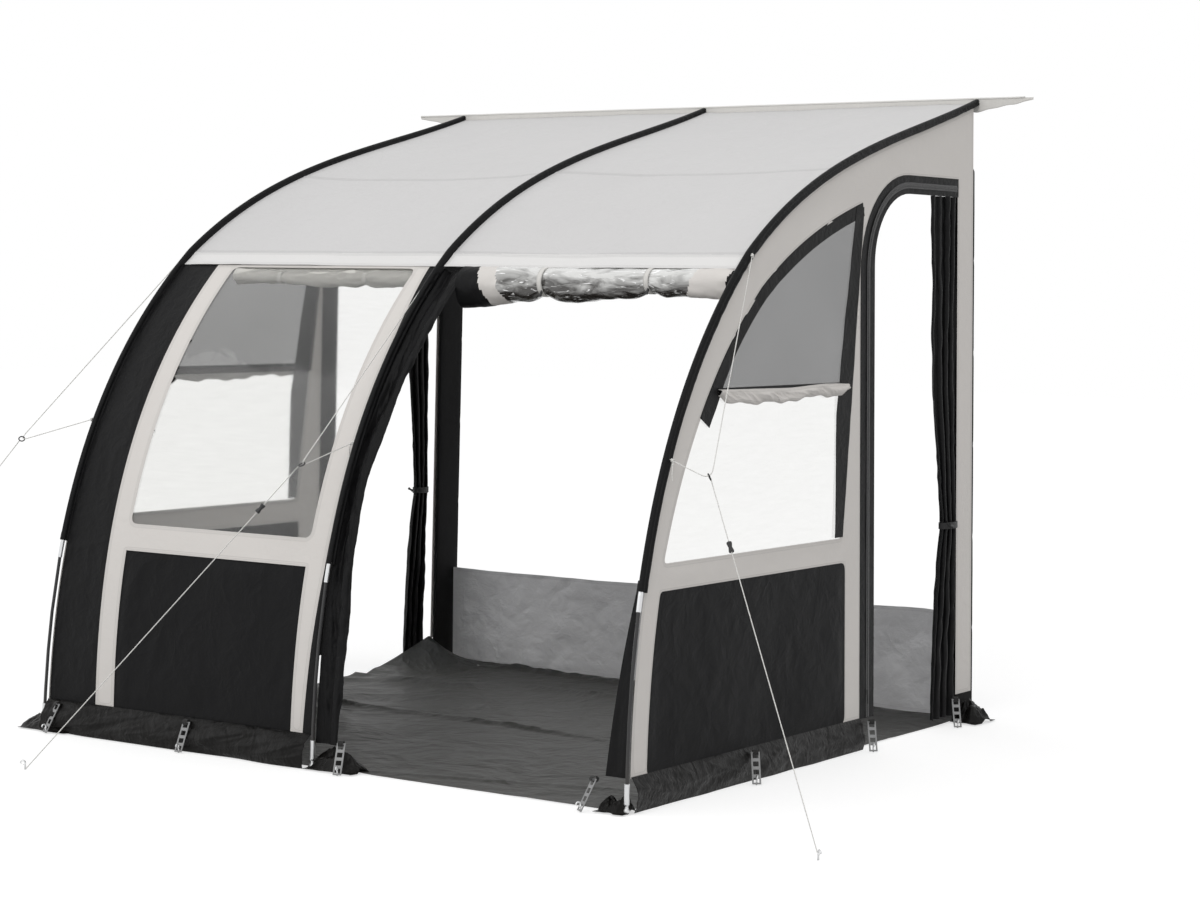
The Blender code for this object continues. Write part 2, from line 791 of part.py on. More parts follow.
def make_right_strip(finishes):
    """Narrow black strip beside the right leg, from just above the sleeve's end."""
    rows = front_stations(heights_between(SLEEVE_END_HEIGHT + RIGHT_STRIP_LAP, PANEL_BOTTOM, 6))
    edges = [right_strip_edge, far_seam]
    bay_sheet("front_right_strip", BAYS["right"], rows, edges, finishes, "dark_cloth")


def make_rail_strip(finishes):
    """Cloth strip along the caravan's rail, its tails past the arches, with the round bead on top."""
    end = TOP_HALF_WIDTH + STRIP_TAIL
    top = RAIL_HEIGHT
    outline = [
        (-end, top), (-end, top - STRIP_TIP_HEIGHT), (-TOP_HALF_WIDTH, top - STRIP_HEIGHT),
        (TOP_HALF_WIDTH, top - STRIP_HEIGHT), (end, top - STRIP_TIP_HEIGHT), (end, top),
    ]
    strip = plate("rail_strip", [outline], PANEL_CLOTH)
    strip.matrix_world = (
        Matrix.Translation((0, DEPTH / 2 - PANEL_CLOTH / 2, 0)) @ Matrix.Rotation(math.pi / 2, 4, "X")
    )
    strip = link(strip, finishes, "bead")
    bead = tube("bead_cutter", [(-end, 0, 0), (end, 0, 0)], BEAD_RADIUS, 4)
    bead.location = (0, DEPTH / 2 - PANEL_CLOTH / 2, top)
    cutters.objects.link(bead)
    return join_pieces(strip, bead)


def as_mesh(obj, collection):
    """The object's evaluated shape as a mesh object, with its caps welded."""
    bpy.context.view_layer.update()
    graph = bpy.context.evaluated_depsgraph_get()
    mesh = bpy.data.meshes.new_from_object(obj.evaluated_get(graph))
    shell = bmesh.new()
    shell.from_mesh(mesh)
    bmesh.ops.remove_doubles(shell, verts=shell.verts, dist=GAP / 10)
    shell.to_mesh(mesh)
    shell.free()
    name = obj.name
    copy = bpy.data.objects.new(name + "_mesh", mesh)
    copy.matrix_world = obj.matrix_world.copy()
    collection.objects.link(copy)
    bpy.data.objects.remove(obj, do_unlink=True)
    copy.name = name
    return copy


def join_pieces(first, second):
    """Boolean union of two curve objects into the first."""
    second = as_mesh(second, cutters)
    first = as_mesh(first, parts)
    union = first.modifiers.new("union", "BOOLEAN")
    union.operation = "UNION"
    union.object = second
    second.hide_render = True
    second.display_type = "WIRE"
    return first


# Side walls, drawn in the plane of their arch

def inset_line(inset, first, last, count):
    return [tuple(arch_offset(s, inset)) for s in stations_between(first, last, count)]


def door_outline(jamb, top, radius, bottom):
    """Hinge side, top, rounded corner and jamb of a door, from one bottom end to the other."""
    arc = corner_arc((jamb - radius, top - radius), radius, math.pi / 2, 0, 7)
    return [(DOOR_HINGE_OUT, bottom), (DOOR_HINGE_OUT, top)] + arc + [(jamb, bottom)]


def lower_panel_outline(gap):
    """Rear bottom, rear top, then down the front edge, which follows the arch."""
    inset = LOWER_PANEL_INSET + gap
    first = station_at_height(LOWER_PANEL_TOP - gap, inset)
    last = station_at_height(PANEL_BOTTOM, inset)
    rear = LOWER_PANEL_REAR_OUT + gap
    return [(rear, PANEL_BOTTOM), (rear, LOWER_PANEL_TOP - gap)] + inset_line(inset, first, last, 4)


def window_front(station, gap):
    """Front edge of the window: nearer the arch at the sill than at the top."""
    low = station_at_height(WALL_SILL, WINDOW_LOW_INSET)
    high = station_at_out(WINDOW_REAR_TOP_OUT, WINDOW_TOP_INSET)
    inset = mix(WINDOW_LOW_INSET, WINDOW_TOP_INSET, (low - station) / (low - high))
    return arch_offset(station, inset + gap)


def window_stations():
    """Stations up the window's front edge: sill to foil edge, and foil edge to the peak."""
    sill = solve(lambda s: window_front(s, 0).y, WALL_SILL)
    split = solve(lambda s: window_front(s, 0).y, MESH_LOWER_EDGE)
    peak = solve(lambda s: -window_front(s, 0).x, -WINDOW_REAR_TOP_OUT)
    return stations_between(sill, split, 5), stations_between(split, peak, 9)


def window_rear(height, gap):
    peak = window_front(window_stations()[1][-1], 0).y
    share = (height - WALL_SILL) / (peak - WALL_SILL)
    return mix(WINDOW_REAR_LOW_OUT, WINDOW_REAR_TOP_OUT, share) + gap, height


def window_outline(stations, gap, bottom, top):
    """Part of the window between two heights; no top means up to the peak."""
    front = [window_front(s, gap) for s in stations]
    front[0].y = bottom
    if top is None:
        front[-1].x = window_rear(front[-1].y, gap)[0]
        return [window_rear(bottom, gap)] + [tuple(p) for p in front]
    front[-1].y = top
    return [window_rear(bottom, gap)] + [tuple(p) for p in front] + [window_rear(top, gap)]


def under_sleeve(station):
    return arch_offset(station, sleeve_size(station)[1] + GAP)


def make_wall_panel(name, frame, finishes):
    bottom = PANEL_BOTTOM
    foot = station_at_height(bottom, SLEEVE_DEPTH + GAP)
    outline = [(REAR_SET, bottom)]
    outline += door_outline(DOOR_JAMB_OUT, DOOR_TOP, DOOR_CORNER_RADIUS, bottom)
    outline += lower_panel_outline(0)
    top = solve(lambda station: -under_sleeve(station).x, -REAR_SET)
    outline += [tuple(under_sleeve(s)) for s in reversed(shared_stations(top, foot))]
    low, high = window_stations()
    window = window_outline(low + high[1:], 0, WALL_SILL, None)
    panel = plate("wall_panel_" + name, [outline, window], PANEL_CLOTH)
    return hold_by(link(panel, finishes, "pale_cloth"), frame)


def make_windows(name, frame, finishes):
    low, high = window_stations()
    outline = window_outline(high, GAP, MESH_LOWER_EDGE + GAP / 2, None)
    mesh = plate("window_mesh_" + name, [outline], PANEL_CLOTH)
    hold_by(link(mesh, finishes, "mesh"), frame)
    outline = window_outline(low, GAP, WALL_SILL + GAP, MESH_LOWER_EDGE - GAP / 2)
    foil = plate("window_foil_" + name, [outline], PANEL_CLOTH)
    hold_by(link(foil, finishes, "foil"), frame)


def make_lower_panel(name, frame, finishes):
    panel = plate("lower_panel_" + name, [lower_panel_outline(GAP)], PANEL_CLOTH)
    return hold_by(link(panel, finishes, "dark_cloth"), frame)


def make_door_border(name, frame, finishes):
    outer = door_outline(DOOR_JAMB_OUT - GAP, DOOR_TOP - GAP, DOOR_CORNER_RADIUS - GAP, PANEL_BOTTOM)
    inner = door_outline(
        DOOR_JAMB_OUT - BORDER_WIDTH, DOOR_TOP - BORDER_TOP_WIDTH,
        DOOR_CORNER_RADIUS - BORDER_WIDTH, PANEL_BOTTOM,
    )
    rear = DOOR_HINGE_OUT + GAP
    outline = [(rear, DOOR_TOP - GAP)] + outer[2:] + list(reversed(inner[2:]))
    outline.append((rear, DOOR_TOP - BORDER_TOP_WIDTH))
    border = plate("door_border_" + name, [outline], PANEL_CLOTH)
    return hold_by(link(border, finishes, "dark_cloth"), frame)


def make_door_cloth(name, frame, finishes):
    """Door cloth drawn back to its hinge side and tied once; it hangs in folds."""
    top = DOOR_TOP - BORDER_TOP_WIDTH - GAP
    count = 14
    rows = []
    for i in range(count + 1):
        height = mix(top, DOOR_CLOTH_BOTTOM, i / count)
        waist = math.exp(-(((height - DOOR_TIE_HEIGHT) / DOOR_TIE_SPREAD) ** 2))
        width = DOOR_CLOTH_WIDTH - DOOR_TIE_WAIST * waist
        centre = DOOR_HINGE_OUT + GAP + width / 2 * (1 + DOOR_CLOTH_RIPPLE_SHARE)
        ring = fluted_ring(width, DOOR_CLOTH_DEPTH, DOOR_CLOTH_FOLDS, DOOR_CLOTH_RIPPLE_SHARE)
        rows.append([(centre + x, height, y) for x, y in ring])
    cloth = surface("door_cloth_" + name, rows, closed=True, capped=True)
    return hold_by(link(cloth, finishes, "dark_cloth"), frame)


def make_wall_flap(name, frame, finishes):
    """Mud flap from the wall's bottom hem to the ground, from the door to the arch."""
    inset = SLEEVE_DEPTH + GAP
    top, bottom = PANEL_BOTTOM - GAP, 0.0
    front = [tuple(arch_offset(station_at_height(h, inset), inset)) for h in (top, CLOTH)]
    outline = [(DOOR_JAMB_OUT, bottom), (DOOR_JAMB_OUT, top), front[0], (front[1][0], bottom)]
    flap = plate("wall_flap_" + name, [outline], PANEL_CLOTH)
    return hold_by(link(flap, finishes, "flap"), frame)


def inward(side, distance):
    """Sideways value of a distance in from a side wall."""
    return side * distance


def make_rear_pad(name, side, frame, finishes):
    """Foam pad down the inner face of the wall, pressed against the caravan."""
    outline = [(0, 0), (PAD_WIDTH, 0), (PAD_WIDTH, PAD_HEIGHT), (0, PAD_HEIGHT)]
    shift = PANEL_CLOTH / 2 + GAP + PAD_DEPTH / 2
    pad = plate("rear_pad_" + name, [outline], PAD_DEPTH, inward(side, shift))
    return hold_by(link(pad, finishes, "foam_pad"), frame)


def make_zip_slider(name, side, finishes):
    """Zip slider and its pull, on the outer face of the door border."""
    middle = DOOR_JAMB_OUT - BORDER_WIDTH / 2
    half = ZIP_BODY_WIDTH / 2
    pull = ZIP_PULL_WIDTH / 2
    base = ZIP_PULL_LENGTH
    outline = [
        (-pull, 0), (pull, 0), (pull, base), (half, base), (half, base + ZIP_BODY_LENGTH),
        (-half, base + ZIP_BODY_LENGTH), (-half, base), (-pull, base),
    ]
    face = PANEL_CLOTH / 2 + GAP + ZIP_BODY_DEPTH / 2
    holder = bpy.data.objects.new("zip_line_" + name, None)
    holder.empty_display_size = ZIP_PULL_LENGTH
    holder.matrix_world = arch_matrix(side) @ Matrix.Translation((middle, ZIP_HEIGHT, -side * face))
    parts.objects.link(holder)
    slider = plate("zip_slider_" + name, [outline], ZIP_BODY_DEPTH)
    return hold_by(link(slider, finishes, "black_plastic"), holder)


# Ground and caravan side

def sheet_side(side, out):
    """Edge of the groundsheet, just inside the wall, its flap and its pad."""
    return in_world(side, out, 0, inward(side, PANEL_CLOTH / 2 + PAD_DEPTH + 2 * GAP))


def make_groundsheet(finishes):
    front = DEPTH - SLEEVE_DEPTH - SHEET_FRONT_MARGIN
    corners = [sheet_side(-1, 0), sheet_side(-1, front), sheet_side(1, front), sheet_side(1, 0)]
    sheet = plate("groundsheet", [[(p.x, p.y) for p in corners]], SHEET_THICKNESS, SHEET_THICKNESS / 2)
    return link(sheet, finishes, "groundsheet")


def make_draught_skirt(finishes):
    """Skirt that closes the gap under the caravan, between the two rear pads."""
    columns, levels = 32, 3
    inner = PANEL_CLOTH / 2 + PAD_DEPTH + 2 * GAP
    rows = []
    for i in range(levels + 1):
        height = mix(SHEET_THICKNESS + GAP, SKIRT_HEIGHT, i / levels)
        left = in_world(-1, SKIRT_OUT, height, inward(-1, inner))
        right = in_world(1, SKIRT_OUT, height, inward(1, inner))
        left.z = right.z = height
        row = []
        for j in range(columns + 1):
            spot = left.lerp(right, j / columns)
            wave = math.sin(2 * math.pi * spot.x / SKIRT_WAVE_LENGTH + i / 2)
            spot.y += SKIRT_WAVE * wave * (1 - (2 * j / columns - 1) ** 8)
            row.append(spot)
        rows.append(row)
    skirt = surface("draught_skirt", rows)
    face_up(skirt, Vector((0, -1, 0)))
    thicken(skirt, CLOTH)
    return link(skirt, finishes, "skirt")


# Guy ropes

def rope_bend(anchors, vertex, share):
    """Point of the smooth bend that the upper rope makes in its ring."""
    first, last = [vertex + (spot - vertex).normalized() * ROPE_BEND for spot in anchors]
    return first.lerp(vertex, share).lerp(vertex.lerp(last, share), share)


def sleeve_anchor(station):
    """Where a rope's end lies against the sleeve's sloping side: (sideways, drop)."""
    top, low = [Vector(spot) for spot in sleeve_ring(station)[-4:-2]]
    run = (low - top).normalized()
    return (top + low) / 2 + Vector((run.y, -run.x)) * (ROPE_RADIUS + GAP)


def guy_places(route):
    """Anchors beside the sleeve, the corner of the upper rope, and the two ends of the lower one."""
    side = route["side"]
    away = 1 if route["ring"][2] > 0 else -1
    anchors = []
    for height in (route["high"], route["low"]):
        station = station_at_height(height)
        sideways, drop = sleeve_anchor(station)
        spot = arch_offset(station, drop)
        anchors.append(in_world(side, spot.x, spot.y, away * sideways))
    vertex = in_world(side, *route["ring"])
    peg = in_world(side, *route["peg"])
    peg.z += ROPE_RADIUS
    through, centre = ring_place(anchors, vertex)
    down = peg - centre
    down -= through * down.dot(through)
    start = centre + down.normalized() * (RING_RADIUS + RING_WIRE + GAP)
    return anchors, vertex, start, peg


def ring_place(anchors, vertex):
    """Axis and centre of the ring that hangs in the upper rope's bend."""
    first, middle, last = [rope_bend(anchors, vertex, share) for share in (0, 1 / 2, 1)]
    hang = RING_RADIUS - RING_WIRE - ROPE_RADIUS - RING_CLEARANCE
    away = vertex - (first + last) / 2
    return (first - last).normalized(), middle + away.normalized() * hang


def runner_place(route):
    anchors, vertex, start, peg = guy_places(route)
    down = (peg - start).normalized()
    return start + down * route["runner_at"], down


def make_bridle(name, route, finishes):
    """Rope from the elbow through the ring and back to the leg, a smooth bend in the ring."""
    anchors, vertex, start, peg = guy_places(route)
    first, last = [rope_bend(anchors, vertex, share) for share in (0, 1)]
    points = [anchors[0].lerp(first, i / 5) for i in range(5)]
    points += [rope_bend(anchors, vertex, i / 6) for i in range(7)]
    points += [last.lerp(anchors[1], (i + 1) / 3) for i in range(3)]
    rope = tube("guy_bridle_" + name, points, ROPE_RADIUS)
    return link(rope, finishes, "rope")


def make_guy_line(name, route, finishes):
    anchors, vertex, start, peg = guy_places(route)
    rope = tube("guy_line_" + name, [start.lerp(peg, i / 4) for i in range(5)], ROPE_RADIUS)
    return link(rope, finishes, "rope")


def make_ring(name, route, finishes):
    """Ring that hangs in the bridle and holds the lower line."""
    anchors, vertex, start, peg = guy_places(route)
    through, centre = ring_place(anchors, vertex)
    bpy.ops.mesh.primitive_torus_add(
        major_segments=14, minor_segments=6, major_radius=RING_RADIUS, minor_radius=RING_WIRE,
    )
    ring = bpy.context.object
    ring.name = "guy_ring_" + name
    for collection in list(ring.users_collection):
        collection.objects.unlink(ring)
    ring.matrix_world = Matrix.Translation(centre) @ through.to_track_quat("Z", "Y").to_matrix().to_4x4()
    ring.data.shade_smooth()
    return link(ring, finishes, "black_plastic")


def make_runner(name, route, finishes):
    """Runner on the lower line: a waisted barrel whose bore holds the rope."""
    half = RUNNER_LENGTH / 2
    bore = ROPE_RADIUS + GAP
    rim = RUNNER_RIM
    profile = closed_profile([
        (bore, half), (RUNNER_RADIUS, half), (RUNNER_RADIUS, half - rim), (RUNNER_WAIST, 0),
        (RUNNER_RADIUS, rim - half), (RUNNER_RADIUS, -half), (bore, -half),
    ])
    runner = turned("guy_runner_" + name, profile, 12)
    place, down = runner_place(route)
    runner.matrix_world = Matrix.Translation(place) @ down.to_track_quat("Z", "Y").to_matrix().to_4x4()
    return link(runner, finishes, "black_plastic")


# Assembly

def make_arches(finishes, frames):
    for name, frame in frames.items():
        make_roof_pole(name, frame, finishes)
        make_leg_tube(name, frame, finishes)
        make_lower_leg(name, frame, finishes)
        make_foot(name, frame, finishes)
        make_sleeve(name, frame, finishes)


def make_walls(finishes, frames):
    for name in ("left", "right"):
        frame, side = frames[name], SIDES[name]
        make_wall_panel(name, frame, finishes)
        make_windows(name, frame, finishes)
        make_lower_panel(name, frame, finishes)
        make_door_border(name, frame, finishes)
        make_door_cloth(name, frame, finishes)
        make_wall_flap(name, frame, finishes)
        make_rear_pad(name, side, frame, finishes)
        make_zip_slider(name, side, finishes)


def make_guys(finishes):
    for name, route in GUY_ROUTES.items():
        make_bridle(name, route, finishes)
        make_guy_line(name, route, finishes)
        make_ring(name, route, finishes)
        make_runner(name, route, finishes)


def report_joints():
    """Prints where the sliding pieces sit and the lines they run on."""
    for name, route in GUY_ROUTES.items():
        anchors, vertex, start, peg = guy_places(route)
        place, down = runner_place(route)
        print("runner", name, [round(v, 4) for v in place], "axis", [round(v, 5) for v in down],
              "line", round((peg - start).length, 3),
              "upper", [round((a - vertex).length, 3) for a in anchors])
    for name in ("left", "right"):
        up = arch_matrix(SIDES[name]).to_3x3() @ Vector((0, 1, 0))
        print("zip", name, "axis", [round(v, 5) for v in up])


def main():
    finishes = make_finishes()
    frames = {name: arch_frame("arch_frame_" + name, side) for name, side in SIDES.items()}
    make_arches(finishes, frames)
    make_rail_strip(finishes)
    make_roof("left", finishes)
    make_roof("right", finishes)
    make_front(finishes)
    make_curtain(finishes)
    make_front_gather(finishes)
    make_front_roll(finishes)
    make_right_strip(finishes)
    make_walls(finishes, frames)
    make_groundsheet(finishes)
    make_draught_skirt(finishes)
    make_guys(finishes)
    report_joints()


clear_scene()
parts = new_collection("caravan_awning")
cutters = new_collection("cutters")
main()
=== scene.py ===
import math

import bmesh
import bpy
import numpy as np
from mathutils import Matrix, Vector, geometry


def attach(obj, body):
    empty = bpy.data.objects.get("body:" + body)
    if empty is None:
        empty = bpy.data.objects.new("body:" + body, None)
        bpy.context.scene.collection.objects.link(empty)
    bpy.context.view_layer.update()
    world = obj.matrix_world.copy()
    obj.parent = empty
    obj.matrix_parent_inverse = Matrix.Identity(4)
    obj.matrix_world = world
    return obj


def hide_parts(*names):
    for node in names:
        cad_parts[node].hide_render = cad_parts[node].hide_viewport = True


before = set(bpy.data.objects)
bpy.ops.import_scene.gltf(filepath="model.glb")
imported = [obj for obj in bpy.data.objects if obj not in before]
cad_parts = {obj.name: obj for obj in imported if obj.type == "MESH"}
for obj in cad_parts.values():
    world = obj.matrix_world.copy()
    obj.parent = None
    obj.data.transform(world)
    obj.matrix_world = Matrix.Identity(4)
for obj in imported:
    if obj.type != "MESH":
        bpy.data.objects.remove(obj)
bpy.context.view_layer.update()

# Caravan awning. Metres, +Z up, the front faces -Y, the caravan side +Y.
# "out" runs from the caravan's wall to the front, "height" from the ground.

# camera, at the photo's angle
camera = {"place": (5.948, -8.063, 1.645), "turn": 34.816, "down": 3.524, "roll": 0.680, "lens": 81.11}


def addCamera():
    turn, down, roll = (math.radians(camera[key]) for key in ("turn", "down", "roll"))
    ahead = Vector((-math.sin(turn) * math.cos(down), math.cos(turn) * math.cos(down), -math.sin(down)))
    level = Vector((math.cos(turn), math.sin(turn), 0))
    right = level * math.cos(roll) + level.cross(ahead) * math.sin(roll)
    up = right.cross(ahead)
    data = bpy.data.cameras.new("camera")
    data.sensor_width = 36
    data.lens = camera["lens"]
    data.clip_end = 200
    eye = bpy.data.objects.new("camera", data)
    bpy.context.scene.collection.objects.link(eye)
    eye.matrix_world = Matrix.Translation(camera["place"]) @ Matrix((right, up, -ahead)).transposed().to_4x4()
    bpy.context.scene.camera = eye


addCamera()
print("camera set")

# the arches' shape, as the part has it
arch = {
    "depth": 2.40, "rail": 2.36, "rearHalf": 1.265, "frontHalf": 1.285, "topHalf": 1.226,
    "elbow": (1.67, 1.76), "roofBow": 0.081, "legBow": 0.214, "roofSkew": -0.667, "legSkew": 0.118,
    "sleeveHalf": 0.0135, "sleeveDepth": 0.028, "tipHalf": 0.0115, "tipDepth": 0.024, "taper": 0.42,
    "set": 0.75, "hem": 1.70, "bottom": 0.11, "crest": 0.0100, "cloth": 0.0012, "wall": 0.0024,
}
sides = {"left": -1, "middle": 0, "right": 1}
bays = {"left": (-1, 0), "right": (0, 1)}


def archLine(station):
    station = np.asarray(station, float)
    onRoof = station <= 1
    start = np.where(onRoof[..., None], (0, arch["rail"]), arch["elbow"])
    end = np.where(onRoof[..., None], arch["elbow"], (arch["depth"], 0))
    along = np.where(onRoof, station, station - 1)
    bow = np.where(onRoof, arch["roofBow"], arch["legBow"])
    skew = np.where(onRoof, arch["roofSkew"], arch["legSkew"])
    chord = end - start
    outward = np.stack([-chord[..., 1], chord[..., 0]], -1)
    outward /= np.linalg.norm(outward, axis=-1)[..., None]
    rise = 4 * bow * along * (1 - along) * (1 + skew * (1 - 2 * along))
    return start + chord * along[..., None] + outward * rise[..., None]


steps = np.linspace(0, 2, 1201)
linePoints = archLine(steps)
lineRun = np.gradient(linePoints, axis=0)
lineNormals = np.stack([-lineRun[:, 1], lineRun[:, 0]], -1)
lineNormals /= np.linalg.norm(lineNormals, axis=1)[:, None]
lineLength = np.concatenate([[0], np.cumsum(np.linalg.norm(np.diff(linePoints, axis=0), axis=1))])


def onLine(length, drop=0.0):
    # point and outward normal of the arch line at a length from the rail, a drop under it
    length = np.asarray(length, float)
    point = np.stack([np.interp(length, lineLength, linePoints[:, i]) for i in (0, 1)], -1)
    normal = np.stack([np.interp(length, lineLength, lineNormals[:, i]) for i in (0, 1)], -1)
    return point - normal * np.asarray(drop)[..., None], normal


def lengthAtHeight(height, drop=0.0):
    heights = (linePoints - lineNormals * drop)[:, 1]
    return float(np.interp(-height, -heights, lineLength))


def lengthAtOut(out, drop=0.0):
    return float(np.interp(out, (linePoints - lineNormals * drop)[:, 0], lineLength))


def sleeveSize(length):
    share = np.minimum(onLine(length)[0][..., 0] / arch["taper"], 1)
    half = arch["tipHalf"] + (arch["sleeveHalf"] - arch["tipHalf"]) * share
    return half, arch["tipDepth"] + (arch["sleeveDepth"] - arch["tipDepth"]) * share


def archAxes(side):
    origin = np.array([side * arch["rearHalf"], arch["depth"] / 2, 0])
    out = np.array([side * (arch["frontHalf"] - arch["rearHalf"]), -arch["depth"], 0])
    lean = np.array([side * (arch["topHalf"] - arch["rearHalf"]), 0, arch["rail"]])
    out /= np.linalg.norm(out)
    across = np.cross(out, lean)
    across /= np.linalg.norm(across)
    return origin, out, np.cross(across, out), across


def inWorld(side, out, height, sideways=0.0):
    origin, outAxis, upAxis, across = archAxes(side)
    out, height, sideways = (np.asarray(v, float)[..., None] for v in (out, height, sideways))
    return origin + outAxis * out + upAxis * height + across * sideways


# making cloth and solids
def deselect():
    bpy.ops.object.select_all(action="DESELECT")


def activate(obj):
    deselect()
    obj.select_set(True)
    bpy.context.view_layer.objects.active = obj
    return obj


def applyModifiers(obj):
    activate(obj)
    for modifier in list(obj.modifiers):
        bpy.ops.object.modifier_apply(modifier=modifier.name)
    return obj


def settle(obj):
    # the place goes into the mesh, the object stays at the origin
    activate(obj)
    obj.data.transform(obj.matrix_world)
    obj.matrix_world = Matrix.Identity(4)
    return obj


def softNoise(x, y, seed):
    # smooth random heights, -1 to 1, one hill for each unit
    table = np.random.default_rng(seed).uniform(-1, 1, (61, 61))
    turned = 0.6 + seed
    x, y = x * math.cos(turned) - y * math.sin(turned) + 500, x * math.sin(turned) + y * math.cos(turned) + 500
    xi, yi = np.floor(x).astype(int), np.floor(y).astype(int)
    xs, ys = x - xi, y - yi
    xs, ys = xs * xs * (3 - 2 * xs), ys * ys * (3 - 2 * ys)
    low = table[xi % 61, yi % 61] * (1 - xs) + table[(xi + 1) % 61, yi % 61] * xs
    high = table[xi % 61, (yi + 1) % 61] * (1 - xs) + table[(xi + 1) % 61, (yi + 1) % 61] * xs
    return low * (1 - ys) + high * ys


def straightNoise(x, y, seed):
    # the same, with its hills in line with x and y, for folds with a direction
    table = np.random.default_rng(seed).uniform(-1, 1, (61, 61))
    x, y = x + 500 + seed * 0.37, y + 500 + seed * 0.61
    xi, yi = np.floor(x).astype(int), np.floor(y).astype(int)
    xs, ys = x - xi, y - yi
    xs, ys = xs * xs * (3 - 2 * xs), ys * ys * (3 - 2 * ys)
    low = table[xi % 61, yi % 61] * (1 - xs) + table[(xi + 1) % 61, yi % 61] * xs
    high = table[xi % 61, (yi + 1) % 61] * (1 - xs) + table[(xi + 1) % 61, (yi + 1) % 61] * xs
    return low * (1 - ys) + high * ys


def creased(x, y, seed):
    # sharp ridges between soft dents, as in cloth that was folded and packed
    first = 1 - np.abs(softNoise(x, y, seed)) * 2
    second = 1 - np.abs(softNoise(x * 2.1, y * 2.1, seed + 5)) * 2
    return first * 0.65 + second * 0.35


def ramp(value, low, high):
    share = np.clip((value - low) / (high - low), 0, 1)
    return share * share * (3 - 2 * share)


def meshPiece(name, points, faces, uvs, edge=None, facing=None):
    mesh = bpy.data.meshes.new(name)
    mesh.from_pydata([tuple(p) for p in points], [], faces)
    layer = mesh.uv_layers.new(name="cloth")
    loops = np.empty(len(mesh.loops), int)
    mesh.loops.foreach_get("vertex_index", loops)
    layer.data.foreach_set("uv", np.asarray(uvs, float)[loops].ravel())
    if edge is not None:
        attribute = mesh.attributes.new("edge", "FLOAT", "POINT")
        attribute.data.foreach_set("value", np.asarray(edge, float))
    mesh.update()
    if facing is not None:
        total = Vector()
        for face in mesh.polygons:
            total += face.normal * face.area
        if total.dot(Vector(facing)) < 0:
            mesh.flip_normals()
    mesh.shade_smooth()
    obj = bpy.data.objects.new(name, mesh)
    bpy.context.scene.collection.objects.link(obj)
    return obj


def thickenCloth(obj, thickness=0.0011):
    wall = obj.modifiers.new("thickness", "SOLIDIFY")
    wall.thickness = thickness
    wall.offset = -1
    applyModifiers(obj)
    bpy.ops.object.shade_smooth_by_angle(angle=math.radians(55))
    return obj


def gridCloth(name, points, uvs, facing, keep=None, edge=None, thickness=0.0011):
    # a sheet from rows of points; keep says which cells are cloth
    rows, columns = points.shape[:2]
    faces = [
        (i * columns + j, i * columns + j + 1, (i + 1) * columns + j + 1, (i + 1) * columns + j)
        for i in range(rows - 1) for j in range(columns - 1) if keep is None or keep[i, j]
    ]
    used = sorted({v for face in faces for v in face})
    place = {v: k for k, v in enumerate(used)}
    faces = [tuple(place[v] for v in face) for face in faces]
    flatEdge = None if edge is None else edge.reshape(-1)[used]
    obj = meshPiece(name, points.reshape(-1, 3)[used], faces, uvs.reshape(-1, 2)[used], flatEdge, facing)
    return thickenCloth(obj, thickness) if thickness else obj


def tubeCloth(name, rings, uvs, thickness=0.0, capped=False, edge=None):
    # a loft through closed rings, its last column joined back to the first
    rows, columns = rings.shape[:2]
    faces = [
        (i * columns + j, i * columns + (j + 1) % columns, (i + 1) * columns + (j + 1) % columns, (i + 1) * columns + j)
        for i in range(rows - 1) for j in range(columns)
    ]
    if capped:
        faces.append(tuple(range(columns)))
        faces.append(tuple(reversed(range((rows - 1) * columns, rows * columns))))
    obj = meshPiece(name, rings.reshape(-1, 3), faces, uvs.reshape(-1, 2), None if edge is None else edge.reshape(-1))
    centre = np.repeat(rings.mean(axis=1), columns, axis=0)
    away = rings.reshape(-1, 3) - centre
    total = sum(Vector(away[face.vertices[0]]).dot(face.normal) * face.area for face in obj.data.polygons if len(face.vertices) == 4)
    if total < 0:
        obj.data.flip_normals()
    return thickenCloth(obj, thickness) if thickness else obj


def insideOutline(points, outline):
    # which points lie inside a closed outline
    inside = np.zeros(len(points), bool)
    x, y = points[:, 0], points[:, 1]
    for (x0, y0), (x1, y1) in zip(outline, np.roll(outline, -1, axis=0)):
        crosses = (y0 > y) != (y1 > y)
        if y1 != y0:
            inside ^= crosses & (x < (x1 - x0) * (y - y0) / (y1 - y0) + x0)
    return inside


def edgeDistance(points, outlines):
    best = np.full(len(points), 9.0)
    for outline in outlines:
        for start, end in zip(outline, np.roll(outline, -1, axis=0)):
            side = end - start
            share = np.clip((points - start) @ side / max(side @ side, 1e-12), 0, 1)
            best = np.minimum(best, np.linalg.norm(points - start - share[:, None] * side, axis=1))
    return best


